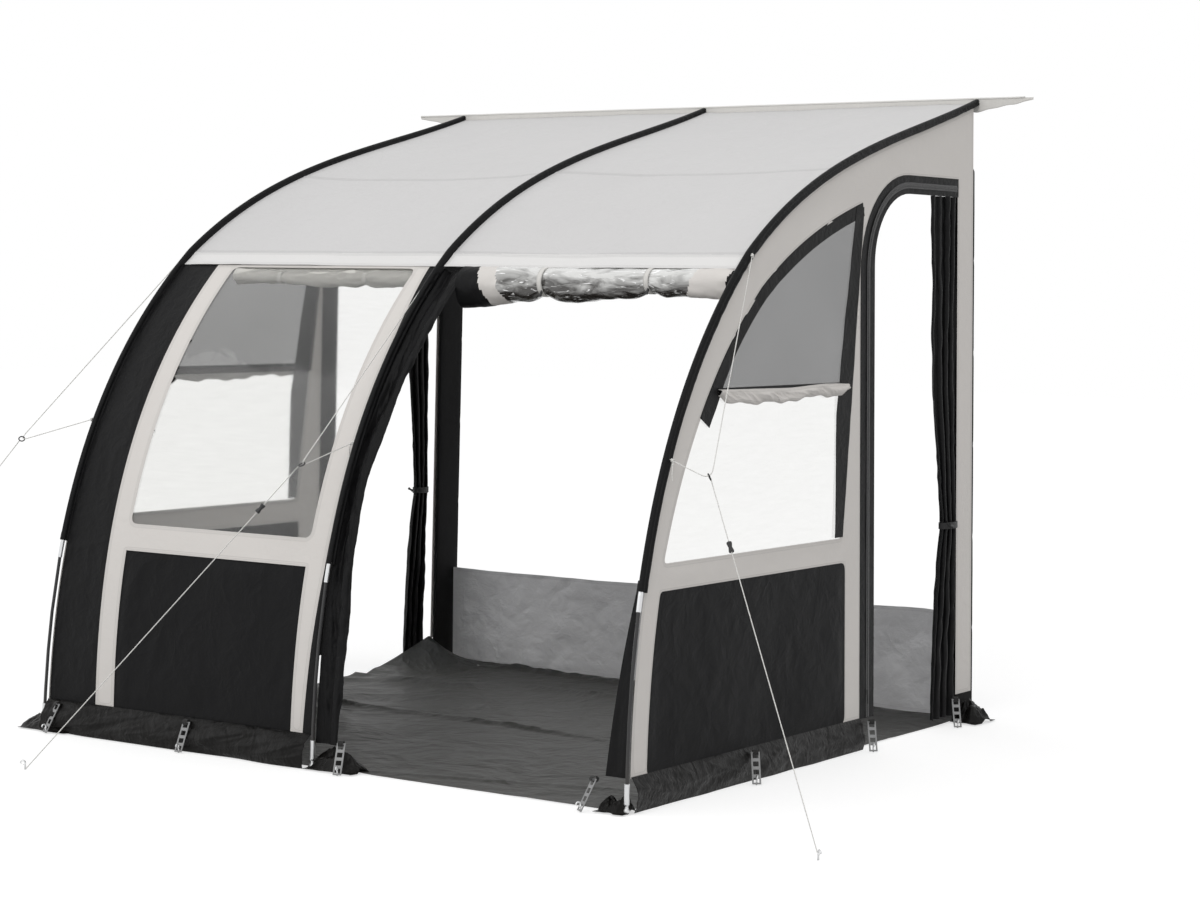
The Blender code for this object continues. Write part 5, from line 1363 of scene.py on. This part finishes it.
def windowLine(inset, low, high):
    # outline between two of: sill, split, peak
    ends = dict(zip(("sill", "split", "peak"), windowEnds(inset)))
    line = [tuple(p) for p in windowFront(np.linspace(ends[low], ends[high], 36), inset)]
    rear = [(windowRear(line[0][1], inset), line[0][1])]
    if high != "peak":
        rear.append((windowRear(line[-1][1], inset), line[-1][1]))
    return [rear[0]] + line + rear[1:]


def makeWall(name):
    side = sides[name]
    place = wallPlace(side)
    facing = (side, 0, 0)
    bottom = arch["bottom"]
    sleeveFoot = lengthAtHeight(bottom, 0.0286)
    sleeveTop = lengthAtOut(wall["rear"], 0.026)
    under = np.linspace(sleeveTop, sleeveFoot, 110)
    underLine = [tuple(p) for p in onLine(under, sleeveSize(under)[1] + gap)[0]]
    panelLine = [(wall["panelRear"], bottom), (wall["panelRear"], wall["panelTop"])] + insetLine(wall["panelInset"], wall["panelTop"], bottom, 16)
    door = doorLine(wall["jamb"], wall["doorTop"], wall["corner"], bottom, wall["hinge"])
    outer = [(wall["rear"], bottom)] + door + panelLine + underLine[::-1]
    window = rounded(windowLine(0.0, "sill", "peak"), 0.02)

    def wallLift(flat, edge):
        rise = 0.0040 * softNoise(flat[:, 0] * 2.6, flat[:, 1] * 1.9, 101 + side)
        rise += 0.0014 * creased(flat[:, 0] * 7, flat[:, 1] * 6, 102 + side)
        return rise * ramp(edge, 0, 0.06) * ramp(flat[:, 0], 0.16, 0.4) + 0.0010

    cloth = cutCloth("wall_cloth_" + name, [outer, window], 0.020, place, facing, lift=wallLift)
    stretchedCloth(cloth, paleCloth, 2.3, 2.2, ["wall_panel_" + name], area=outlineArea(outer, window))

    net = windowLine(-0.010, "split", "peak")
    netting_ = cutCloth("window_net_" + name, [net], 0.028, place, facing, 0.0006, lambda flat, edge: 0 * edge - 0.0032)
    stretchedCloth(netting_, netting, 1.0, 0.68, ["window_mesh_" + name], area=outlineArea(net))
    foilLine = windowLine(-0.010, "sill", "split")
    foil = cutCloth("window_film_" + name, [foilLine], 0.022, place, facing, 0.0006,
                    lambda flat, edge: (0.0045 * softNoise(flat[:, 0] * 2.6, flat[:, 1] * 2.6, 104)) * ramp(edge, 0, 0.1) - 0.0045)
    stretchedCloth(foil, clearFoil, 1.1, 0.52, ["window_foil_" + name], area=outlineArea(foilLine))

    # black bands sewn round the netting, along its curve and down its rear edge
    sill, split, peak = windowEnds()
    band = np.linspace(split + 0.085, peak, 120)
    columns = np.linspace(-0.006, 1, 9)[None, :]
    wide = wall["blackEdge"] + 0.018 * ramp(band, split - 0.25, split + 0.04)[:, None]
    columns = np.where(columns < 0, columns, columns * wide)
    rows = np.array([windowFront(np.full(9, v), c) for v, c in zip(band, columns)])
    curve = bandCloth("window_band_" + name, rows, place, facing, 0.0016, 105)
    stretchedCloth(curve, blackCloth, 0.05, 1.35, (), area=None)
    heights = np.linspace(windowFront(peak)[1] - 0.01, wall["sill"] + 0.004, 70)
    widths = np.interp(heights, [wall["sill"], 1.2, 1.95], [wall["rearBlack"][0], wall["rearBlack"][1], wall["rearBlack"][0]])
    rearShare = np.linspace(0, 1, 8)
    rows = np.array([np.stack([windowRear(h) - 0.010 + (w + 0.01) * rearShare, np.full(8, h)], -1) for h, w in zip(heights, widths)])
    rows[:, :, 0] += 0.004 * straightNoise(rows[:, :, 1] * 9, rows[:, :, 0] * 0, 106) * rearShare
    rearBand = bandCloth("window_rear_band_" + name, rows, place, facing, 0.0022, 107)
    stretchedCloth(rearBand, blackCloth, 0.08, 1.2, (), area=None)

    # cover drawn up to the split: a flat bunched band under a black hem
    count, columns = 260, 26
    outs = np.linspace(windowRear(1.27) + 0.020, float(windowFront(split)[0]) - 0.060, count)[:, None]
    share = np.linspace(0, 1, columns)[None, :]
    drop = 0.052 + 0.014 * straightNoise(outs * 5, outs * 0, 108) + 0.007 * straightNoise(outs * 19, outs * 0, 109)
    drop = drop * (0.5 + 0.5 * ramp(np.minimum(outs - outs[0], outs[-1] - outs), 0, 0.05))
    heights = 1.306 + 0.004 * softNoise(outs * 4, outs * 0, 113) - drop * share
    puff = 0.012 * np.sin(math.pi * share ** 0.8) ** 0.6 * (1 + 0.5 * straightNoise(outs * 14 + share, share * 2, 110))
    puff = puff + 0.0045 * creased(outs * 22 + share * 2, share * 1.6 + outs * 3, 114) * np.sin(math.pi * share) + 0.0020
    flat = np.stack(np.broadcast_arrays(outs, heights), -1)
    base, normal = place(flat.reshape(-1, 2))
    points = (base + normal * puff.reshape(-1)[:, None]).reshape(count, columns, 3)
    edge = np.minimum(share, 1 - share) * 0.06 + 0 * outs
    cover = gridCloth("cover_band_" + name, points, flat, facing, edge=edge, thickness=0.0009)
    stretchedCloth(cover, paleCloth, float(outs[-1, 0] - outs[0, 0]), 0.068, ())
    hemRows = np.stack(np.broadcast_arrays(outs, 1.300 + np.linspace(0, 0.011, 4)[None, :]), -1)
    hemBand = bandCloth("cover_hem_" + name, hemRows, place, facing, 0.0040, 115)
    stretchedCloth(hemBand, blackCloth, 0.011, float(outs[-1, 0] - outs[0, 0]), ())

    panelInner = rounded([(wall["panelRear"] - 0.006, bottom), (wall["panelRear"] - 0.006, wall["panelTop"] + 0.006)]
                         + insetLine(wall["panelInset"] - 0.006, wall["panelTop"] + 0.006, bottom, 16), 0.03)

    def lowerLift(flat, edge):
        rise = 0.0060 * softNoise(flat[:, 0] * 3.2, flat[:, 1] * 2.4, 111) + 0.0022 * creased(flat[:, 0] * 8, flat[:, 1] * 7, 112)
        rise += 0.0050 * creased(flat[:, 0] * 2.6 + flat[:, 1] * 1.6, flat[:, 1] * 1.3, 116) * ramp(0.6 - flat[:, 1], 0, 0.5)
        return rise * ramp(edge, 0.004, 0.06) + 0.0018

    lower = cutCloth("lower_cloth_" + name, [panelInner], 0.013, place, facing, lift=lowerLift)
    stretchedCloth(lower, darkCloth, 1.26, 0.57, ["lower_panel_" + name], area=outlineArea(panelInner))


def bandCloth(name, rows, place, facing, proud, seed):
    count, columns = rows.shape[:2]
    flat = rows.reshape(-1, 2)
    world, normal = place(flat)
    across = np.linalg.norm(np.diff(rows, axis=1), axis=2)
    run = np.concatenate([np.zeros((count, 1)), np.cumsum(across, axis=1)], axis=1)
    along = np.concatenate([[0], np.cumsum(np.linalg.norm(np.diff(rows[:, 0], axis=0), axis=1))])
    edge = np.minimum(run, run[:, -1:] - run)
    lift = proud + 0.0009 * softNoise(flat[:, 0] * 20, flat[:, 1] * 20, seed)
    points = (world + normal * lift[:, None]).reshape(count, columns, 3)
    uvs = np.stack([run, np.repeat(along[:, None], columns, 1)], -1)
    return gridCloth(name, points, uvs, facing, edge=edge, thickness=0.0010)


def makeDoor(name):
    side = sides[name]
    place = wallPlace(side)
    facing = (side, 0, 0)
    bottom = arch["bottom"]
    outer = doorLine(wall["jamb"] + 0.006, wall["doorTop"] + 0.006, wall["corner"], bottom, wall["hinge"] - 0.004)
    inner = doorLine(wall["jamb"] - wall["border"], wall["doorTop"] - wall["borderTop"], wall["corner"] - wall["border"], bottom, wall["hinge"] - 0.004)
    line = outer[1:] + inner[:0:-1]
    lift = lambda flat, edge: (0.0014 * softNoise(flat[:, 0] * 14, flat[:, 1] * 6, 121) + 0.0010 * creased(flat[:, 0] * 16, flat[:, 1] * 9, 122)) * ramp(edge, 0, 0.02) + 0.0018
    border = cutCloth("door_border_cloth_" + name, [line], 0.011, place, facing, lift=lift)
    stretchedCloth(border, blackCloth, 0.1, 2.8, ["door_border_" + name], area=outlineArea(line))

    # zip: two ribbed rows on a tape, down the middle of the border
    middle = wall["border"] / 2
    track = np.array(doorLine(wall["jamb"] - middle, wall["doorTop"] - wall["borderTop"] / 2, wall["corner"] - middle, bottom + 0.002, wall["hinge"] + 0.01)[1:])
    track = alongPath(np.column_stack([track, np.zeros(len(track))]), 0.006)[:, :2]
    ahead = np.gradient(track, axis=0)
    ahead /= np.linalg.norm(ahead, axis=1)[:, None]
    beside = np.stack([-ahead[:, 1], ahead[:, 0]], -1)
    profile = np.array([(-0.011, 0.0), (-0.0032, 0.0002), (-0.0028, 0.0016), (-0.0006, 0.0018), (0.0, 0.0010),
                        (0.0006, 0.0018), (0.0028, 0.0016), (0.0032, 0.0002), (0.011, 0.0)])
    rows = track[:, None, :] + beside[:, None, :] * profile[None, :, :1]
    world, normal = place(rows.reshape(-1, 2))
    lifted = world + normal * (np.tile(profile[:, 1], len(track)) + 0.0040)[:, None]
    run = np.concatenate([[0], np.cumsum(np.linalg.norm(np.diff(track, axis=0), axis=1))])
    uvs = np.stack(np.broadcast_arrays(profile[None, :, 0], run[:, None]), -1)
    edge = np.minimum(0.011 - np.abs(profile[None, :, 0]), 1) + 0 * run[:, None]
    zipper = gridCloth("zip_" + name, lifted.reshape(len(track), len(profile), 3), uvs, facing, edge=edge, thickness=0.0008)
    stretchedCloth(zipper, zipTeeth, 0.024, float(run[-1]), ())

    makeDoorCloth(name)


doorCloth = {"top": 1.9826, "bottom": 0.036, "tie": 0.757, "folds": 3.6, "depth": 0.034, "left": (0.70, 0.046), "right": (1.0, 0.006),
             "widths": ((0.036, 0.30, 0.60, 0.757, 0.90, 1.25, 1.978), (0.205, 0.195, 0.160, 0.118, 0.150, 0.200, 0.215))}


def makeDoorCloth(name):
    # drawn back to the rear upright in a few soft folds and tied
    side = sides[name]
    rows, columns = 260, 130
    heights = np.linspace(doorCloth["top"], doorCloth["bottom"], rows)[:, None]
    share = np.linspace(0, 1, columns)[None, :]
    narrow, start = doorCloth[name]
    width = np.interp(heights, *doorCloth["widths"]) * (0.97 + 0.05 * straightNoise(0 * share, heights * 3, 131)) * narrow
    near = np.exp(-((heights - doorCloth["tie"]) / 0.20) ** 2)
    drift = 1.6 * softNoise(share * 1.6, heights * 1.3, 132 + side) + 0.6 * straightNoise(share * 4 + 0 * heights, heights * 4, 133)
    phase = share * doorCloth["folds"] * 2 * math.pi + drift
    deep = doorCloth["depth"] * (0.70 + 0.40 * straightNoise(share * 4 + 0 * heights, heights * 1.8, 134)) * (1 - 0.35 * near)
    outs = wall["hinge"] + start + width * share + 0.0040 * np.sin(phase * 2) * share * (1 - share) * 4
    sideways = 0.5 * deep * np.cos(phase) + 0.0048 * creased(share * 2.6 + heights * 4, heights * 6 + share, 135)
    sideways = sideways + 0.0030 * near * straightNoise(share * 9 + 0 * heights, heights * 3 + 0 * share, 137)
    world = inWorld(side, outs.ravel(), (heights + 0 * share).ravel(), sideways.ravel()).reshape(rows, columns, 3)
    step = np.linalg.norm(np.diff(world, axis=1), axis=2).mean(axis=0)
    around = np.concatenate([[0], np.cumsum(step)])
    uvs = np.stack(np.broadcast_arrays(around[None, :], heights), -1)
    edge = np.minimum(np.minimum(around, around[-1] - around)[None, :], np.minimum(heights - doorCloth["bottom"], 1.0))
    cloth = gridCloth("door_cloth_hung_" + name, world, uvs, None, edge=edge, thickness=0.0010)
    stretchedCloth(cloth, blackCloth, float(around[-1]), doorCloth["top"] - doorCloth["bottom"], ["door_cloth_" + name])
    half = float(np.interp(doorCloth["tie"], *doorCloth["widths"])) / 2 * narrow
    centre = inWorld(side, wall["hinge"] + start + half, doorCloth["tie"])
    outAxis, upAxis, across = archAxes(side)[1:]
    strapLoop("door_tie_" + name, centre, outAxis * (half + 0.004), across * 0.0240, 0.024, upAxis, tapeCloth, seed=136)
    makeToggle("door_toggle_" + name, Vector(centre + outAxis * 0.030 - across * side * 0.030), tuple(outAxis * 0.9 + upAxis * 0.4))


pad = {"width": 0.148, "depth": 0.0205, "height": 2.097, "channels": 6}


def makeRearPad(name):
    # foam in a black cover, with sewn channels across it
    side = sides[name]
    heights = np.linspace(0.001, pad["height"], 200)
    turn = np.linspace(0, 2 * math.pi, 44, endpoint=False)
    rings, uvs = [], []
    for height in heights:
        end = min(height - 0.001, pad["height"] - height)
        closing = math.sqrt(max(0.0, 1 - (1 - min(end / 0.012, 1)) ** 2)) * 0.9 + 0.1
        beat = abs(math.sin(math.pi * height / pad["height"] * pad["channels"]))
        puff = 0.62 + 0.38 * min(1.0, beat * 6) ** 0.5
        flat = np.sign(np.cos(turn)) * np.abs(np.cos(turn)) ** 0.35, np.sign(np.sin(turn)) * np.abs(np.sin(turn)) ** 0.55
        out = 0.002 + pad["width"] / 2 + pad["width"] / 2 * flat[0] * (0.985 + 0.015 * closing)
        deep = pad["depth"] / 2 * flat[1] * puff * closing
        deep = deep * (1 + 0.05 * softNoise(out * 12, out * 0 + height * 9, 141))
        sideways = side * (0.0012 + 0.0008 + pad["depth"] / 2) + deep
        rings.append(inWorld(side, out, np.full(len(turn), height), sideways))
        around = np.concatenate([[0], np.cumsum(np.hypot(np.diff(out), np.diff(deep)))])
        uvs.append(np.stack([around, np.full(len(turn), height)], -1))
    beatAll = np.abs(np.sin(math.pi * heights / pad["height"] * pad["channels"]))
    edge = np.repeat((beatAll * 0.06)[:, None], len(turn), 1)
    obj = tubeCloth("pad_" + name, np.array(rings), np.array(uvs), capped=True, edge=edge)
    dress(obj, padCloth, nodes=["rear_pad_" + name])


def makeWallFlap(name):
    side = sides[name]
    columns, rows = 320, 30
    foot = float(onLine(lengthAtHeight(0.06, 0.029), 0.029)[0][0]) - 0.004
    outs = np.linspace(wall["jamb"] + 0.002, foot, columns)[None, :]
    share = np.linspace(0, 1, rows)[:, None]
    height = arch["bottom"] + 0.004 - (arch["bottom"] + 0.0015) * share
    swell = 0.002 + 0.022 * flapShape(outs, share, 151)
    flat = np.stack(np.broadcast_arrays(outs, height), -1)
    world, normal = wallPlace(side)(flat.reshape(-1, 2))
    points = (world + normal * swell.reshape(-1)[:, None]).reshape(rows, columns, 3)
    edge = np.minimum(share, 1 - share) * 0.12 + 0 * outs
    uvs = np.stack(np.broadcast_arrays(outs, 0.12 * share), -1)
    flap = gridCloth("wall_flap_cloth_" + name, points, uvs, (side, 0, 0), edge=edge)
    stretchedCloth(flap, flapCloth, foot - wall["jamb"], 0.14, ["wall_flap_" + name])


# groundsheet and draught skirt
ground = {"front": 2.36, "inset": 0.030, "thick": 0.0012}


def makeGroundsheet():
    rows, columns = 212, 220
    share = np.linspace(0, 1, columns)[None, :]
    outs = np.linspace(0.004, ground["front"], rows)[:, None]
    left = -(arch["rearHalf"] + (arch["frontHalf"] - arch["rearHalf"]) / arch["depth"] * outs) + ground["inset"]
    x = left + (-left - left) * share
    y = arch["depth"] / 2 - outs + 0 * x
    edge = np.minimum(np.minimum(x - left, -left - x), np.minimum(outs - 0.004, ground["front"] - outs) + 0 * x)
    z = 0.0016 + 0.0040 * np.clip(softNoise(x * 2.1, y * 2.3, 161) - 0.1, 0, 1)
    folds = 1 - np.abs(straightNoise(x * 0.9 + y * 0.5, y * 3.6 + x * 0.35, 162)) * 3.4
    z += 0.0200 * np.clip(folds, 0, 1) ** 1.8 * np.clip(softNoise(x * 1.6, y * 1.6, 165) + 0.45, 0, 1)
    pinch = 1 - np.abs(straightNoise(x * 0.5 - y * 0.9, y * 2.4 - x * 0.6, 166)) * 9
    z += 0.0110 * np.clip(pinch, 0, 1) * np.clip(softNoise(x * 2.3, y * 2.3, 167) + 0.2, 0, 1)
    z += 0.0034 * np.clip(creased(x * 3.4, y * 3.1, 164), 0, 1) ** 2 + 0.0007 * np.clip(creased(x * 5, y * 4, 163), 0, 1)
    # the left rear corner is drawn up towards the door
    far = np.where(outs < 0.2, (0.2 - outs) / 0.22, (outs - 0.2) / 0.45)
    z += 0.125 * np.clip(1 - far, 0, 1) ** 1.2 * np.clip(1 - (x - left) / 0.26, 0, 1) ** 1.5
    flat = np.stack([x, y], -1)
    sheet = gridCloth("groundsheet_cloth", np.stack([x, y, z], -1), flat, (0, 0, 1), edge=edge, thickness=ground["thick"])
    stretchedCloth(sheet, groundCloth, 2.5, 2.36, ["groundsheet"])


skirt = {"top": 0.408, "left": -1.236, "right": 1.236, "out": 0.036}


def makeSkirt():
    rows, columns = 80, 380
    share = np.linspace(0, 1, columns)[None, :]
    down = np.linspace(0, 1, rows)[:, None]
    x = skirt["left"] + (skirt["right"] - skirt["left"]) * share + 0 * down
    top = skirt["top"] + 0.010 * softNoise(x * 2.2, x * 0, 171) - 0.012 * np.exp(-((share - 0.75) / 0.1) ** 2)
    z = top + (0.006 - top) * down
    ends = np.clip(np.minimum(share, 1 - share) / 0.04, 0, 1)
    wave = 0.010 * straightNoise(x * 4.2, down * 1.3 + 0 * x, 172) + 0.0060 * softNoise(x * 9, down * 3, 173)
    wave += 0.0075 * creased(x * 4 + down * 0.6, down * 1.9 + x, 174) + 0.0035 * creased(x * 11, down * 4.5 + x, 175)
    y = arch["depth"] / 2 - skirt["out"] + wave * ends
    edge = np.minimum(top - z, z - 0.006)
    sheet = gridCloth("skirt_cloth", np.stack([x, y, z], -1), np.stack([x, z], -1), (0, -1, 0), edge=edge, thickness=0.0009)
    stretchedCloth(sheet, skirtCloth, 2.55, 0.42, ["draught_skirt"])


# ladder bands at the ground
bands = {"width": 0.030, "length": 0.112, "rungs": 4, "rail": 0.0056, "thick": 0.0030, "slope": 62}
bandSpots = [((-0.57, 2.385), (0.15, -1)), ((0.130, 2.385), (0.45, -1)), ((1.175, 2.385), (-0.55, -1)), ((1.300, 1.66), (0.65, -0.8)),
             ((1.293, 0.86), (0.65, -0.8)), ((1.285, 0.20), (0.65, -0.8)), ((-1.20, 2.385), (-0.3, -1)),
             ((-1.300, 1.66), (-0.65, -0.8)), ((-1.293, 0.86), (-0.65, -0.8)), ((-1.285, 0.20), (-0.65, -0.8))]


def makeBand(index, spot, toward):
    # rubber ladder from a loop at the hem down to its peg
    deselect()
    bpy.ops.mesh.primitive_grid_add(x_subdivisions=1, y_subdivisions=bands["rungs"], size=1)
    band = bpy.context.object
    band.name = f"ladder_band_{index}"
    band.scale = (bands["width"], bands["length"], 1)
    bpy.ops.object.transform_apply(scale=True)
    bpy.ops.object.mode_set(mode="EDIT")
    bpy.ops.mesh.select_all(action="SELECT")
    bpy.ops.mesh.inset(thickness=bands["rail"], use_individual=True)
    bpy.ops.mesh.delete(type="FACE")
    bpy.ops.object.mode_set(mode="OBJECT")
    wallMod = band.modifiers.new("thickness", "SOLIDIFY")
    wallMod.thickness = bands["thick"]
    soften = band.modifiers.new("soft", "BEVEL")
    soften.width = 0.0008
    soften.segments = 2
    applyModifiers(band)
    x, out = spot
    ahead = Vector((toward[0], toward[1], 0)).normalized()
    angle = math.atan2(ahead.y, ahead.x) - math.pi / 2
    slope = math.radians(bands["slope"])
    half = bands["length"] / 2
    start = Vector((x, arch["depth"] / 2 - out, 0.0)) + ahead * 0.016
    middle = start + ahead * half * math.cos(slope) + Vector((0, 0, half * math.sin(slope) + 0.004))
    band.matrix_world = Matrix.Translation(middle) @ Matrix.Rotation(angle, 4, "Z") @ Matrix.Rotation(-slope, 4, "X")
    settle(band)
    bpy.ops.object.shade_smooth()
    dress(band, greyRubber)
    foot = start + ahead * (half * 2 * math.cos(slope) - 0.006)
    makePegHook(f"band_peg_{index}", foot, ahead)
    top = middle + Vector((0, 0, half * math.sin(slope) - 0.002)) - ahead * half * math.cos(slope)
    strapLoop(f"band_loop_{index}", np.array(top), np.array(ahead) * 0.013, np.array((0, 0, 1)) * 0.010, 0.018,
              (-ahead.y, ahead.x, 0), tapeCloth, seed=181 + index)


# cloth bunched at the poles' feet
footCloths = [("left", (-1.262, 2.372), (0.125, 0.060), 0.085, 191), ("middle", (0.095, 2.362), (0.105, 0.062), 0.095, 192),
              ("right", (1.238, 2.372), (0.055, 0.050), 0.080, 193), ("rear_right", (1.300, 0.085), (0.060, 0.075), 0.120, 194),
              ("rear_left", (-1.300, 0.085), (0.060, 0.075), 0.120, 195)]


def makeFootCloths():
    for name, (x, out), (halfX, halfOut), height, seed in footCloths:
        rows, columns = 42, 62
        u = np.linspace(-1, 1, columns)[None, :]
        v = np.linspace(-1, 1, rows)[:, None]
        size = np.sqrt(np.clip(u ** 2 * 0.8 + v ** 2, 0, 2))
        bulk = np.clip(1 - size ** 1.8, 0, 1) ** 0.8
        z = 0.0045 + height * bulk * (0.42 + 0.25 * softNoise(u * 1.7, v * 1.5, seed) + 0.30 * creased(u * 1.3, v * 1.1, seed + 3))
        z = np.maximum(z + 0.012 * creased(u * 4, v * 3, seed + 6) * bulk, 0.0045)
        px = x + halfX * u * (1 + 0.10 * softNoise(v * 2, u * 2, seed + 8))
        py = arch["depth"] / 2 - out - halfOut * v * (1 + 0.14 * softNoise(u * 2 + 3, v * 2, seed + 9))
        points = np.stack(np.broadcast_arrays(px, py, z), -1)
        flat = points[..., :2] * 1.0
        edge = (1 - np.maximum(np.abs(u), np.abs(v))) * 0.06
        cloth = gridCloth("foot_cloth_" + name, points, flat, (0, 0, 1), edge=edge, thickness=0.0010)
        stretchedCloth(cloth, flapCloth, 2.3 * halfX, 2.9 * halfOut, ())


def makeBands():
    for index, (spot, toward) in enumerate(bandSpots, 1):
        makeBand(index, spot, toward)


# making everything
makeGuys()
print("ropes made")
for sideName in ("left", "middle", "right"):
    makeSleeve(sideName)
for bayName in ("left", "right"):
    makeRoof(bayName)
makeRailStrip()
print("sleeves and roof made")
makeClosedFront()
makeFlap()
makeCurtain()
makeGather()
makeRoll()
makeRightStrip()
print("front made")
for sideName in ("left", "right"):
    makeWall(sideName)
    makeDoor(sideName)
    makeRearPad(sideName)
    makeWallFlap(sideName)
print("walls made")
makeGroundsheet()
makeSkirt()
makeBands()
makeFootCloths()
print("ground pieces made")

for sideName in ("left", "middle", "right"):
    for node, material in (("roof_pole_", fibreRod), ("leg_tube_", steelTube), ("lower_leg_", fibreRod), ("foot_", steelTube),
                           ("guy_ring_", blackPlastic), ("guy_runner_", blackPlastic)):
        bpy.data.objects[node + sideName].material_slots[0].material = material
for sideName in ("left", "right"):
    bpy.data.objects["zip_slider_" + sideName].material_slots[0].material = blackPlastic
print("kept pieces painted")


# floor and light
studio = {"floor": 60.0, "floorTone": 0.50, "lift": 0.60, "world": 0.84, "seen": 1.0}


def addStudio():
    bpy.ops.mesh.primitive_plane_add(size=studio["floor"], location=(0, 0, -0.0015))
    floor = bpy.context.object
    floor.name = "floor"
    material, tree, shader = startMaterial("floorPaint")
    rays = addNode(tree, "LightPath").outputs
    seen = calc(tree, "MAXIMUM", rays["Is Camera Ray"], calc(tree, "MAXIMUM", rays["Is Glossy Ray"], rays["Is Transmission Ray"]))
    tint = studio["floorTone"]
    shader.inputs["Base Color"].default_value = (tint, tint, tint, 1)
    shader.inputs["Roughness"].default_value = 1.0
    shader.inputs["Specular IOR Level"].default_value = 0.0
    shader.inputs["Emission Color"].default_value = (1, 1, 1, 1)
    put(tree, shader.inputs["Emission Strength"], calc(tree, "MULTIPLY", seen, studio["lift"]))
    floor.data.materials.append(material)
    world = bpy.data.worlds.new("studio")
    bpy.context.scene.world = world
    world.use_nodes = True
    tree = world.node_tree
    rays = addNode(tree, "LightPath").outputs
    seen = calc(tree, "MAXIMUM", rays["Is Camera Ray"], calc(tree, "MAXIMUM", rays["Is Glossy Ray"], rays["Is Transmission Ray"]))
    back = tree.nodes["Background"]
    back.inputs["Color"].default_value = (1, 1, 1, 1)
    put(tree, back.inputs["Strength"], calc(tree, "MULTIPLY_ADD", seen, studio["seen"] - studio["world"], studio["world"]))


lamps = {
    "key": {"place": (2.5, -8.0, 7.5), "aim": (0, 0, 0.8), "size": 5.0, "power": 260},
    "fill": {"place": (-7.0, -5.0, 4.5), "aim": (0, 0, 1.0), "size": 6.0, "power": 60},
}


def addLamps():
    for name, lamp in lamps.items():
        data = bpy.data.lights.new(name, "AREA")
        data.size = lamp["size"]
        data.energy = lamp["power"]
        obj = bpy.data.objects.new(name, data)
        bpy.context.scene.collection.objects.link(obj)
        obj.location = lamp["place"]
        obj.rotation_euler = (Vector(lamp["aim"]) - Vector(lamp["place"])).to_track_quat("-Z", "Y").to_euler()


addStudio()
addLamps()
bpy.context.scene.view_settings.view_transform = "Standard"
print("studio set")
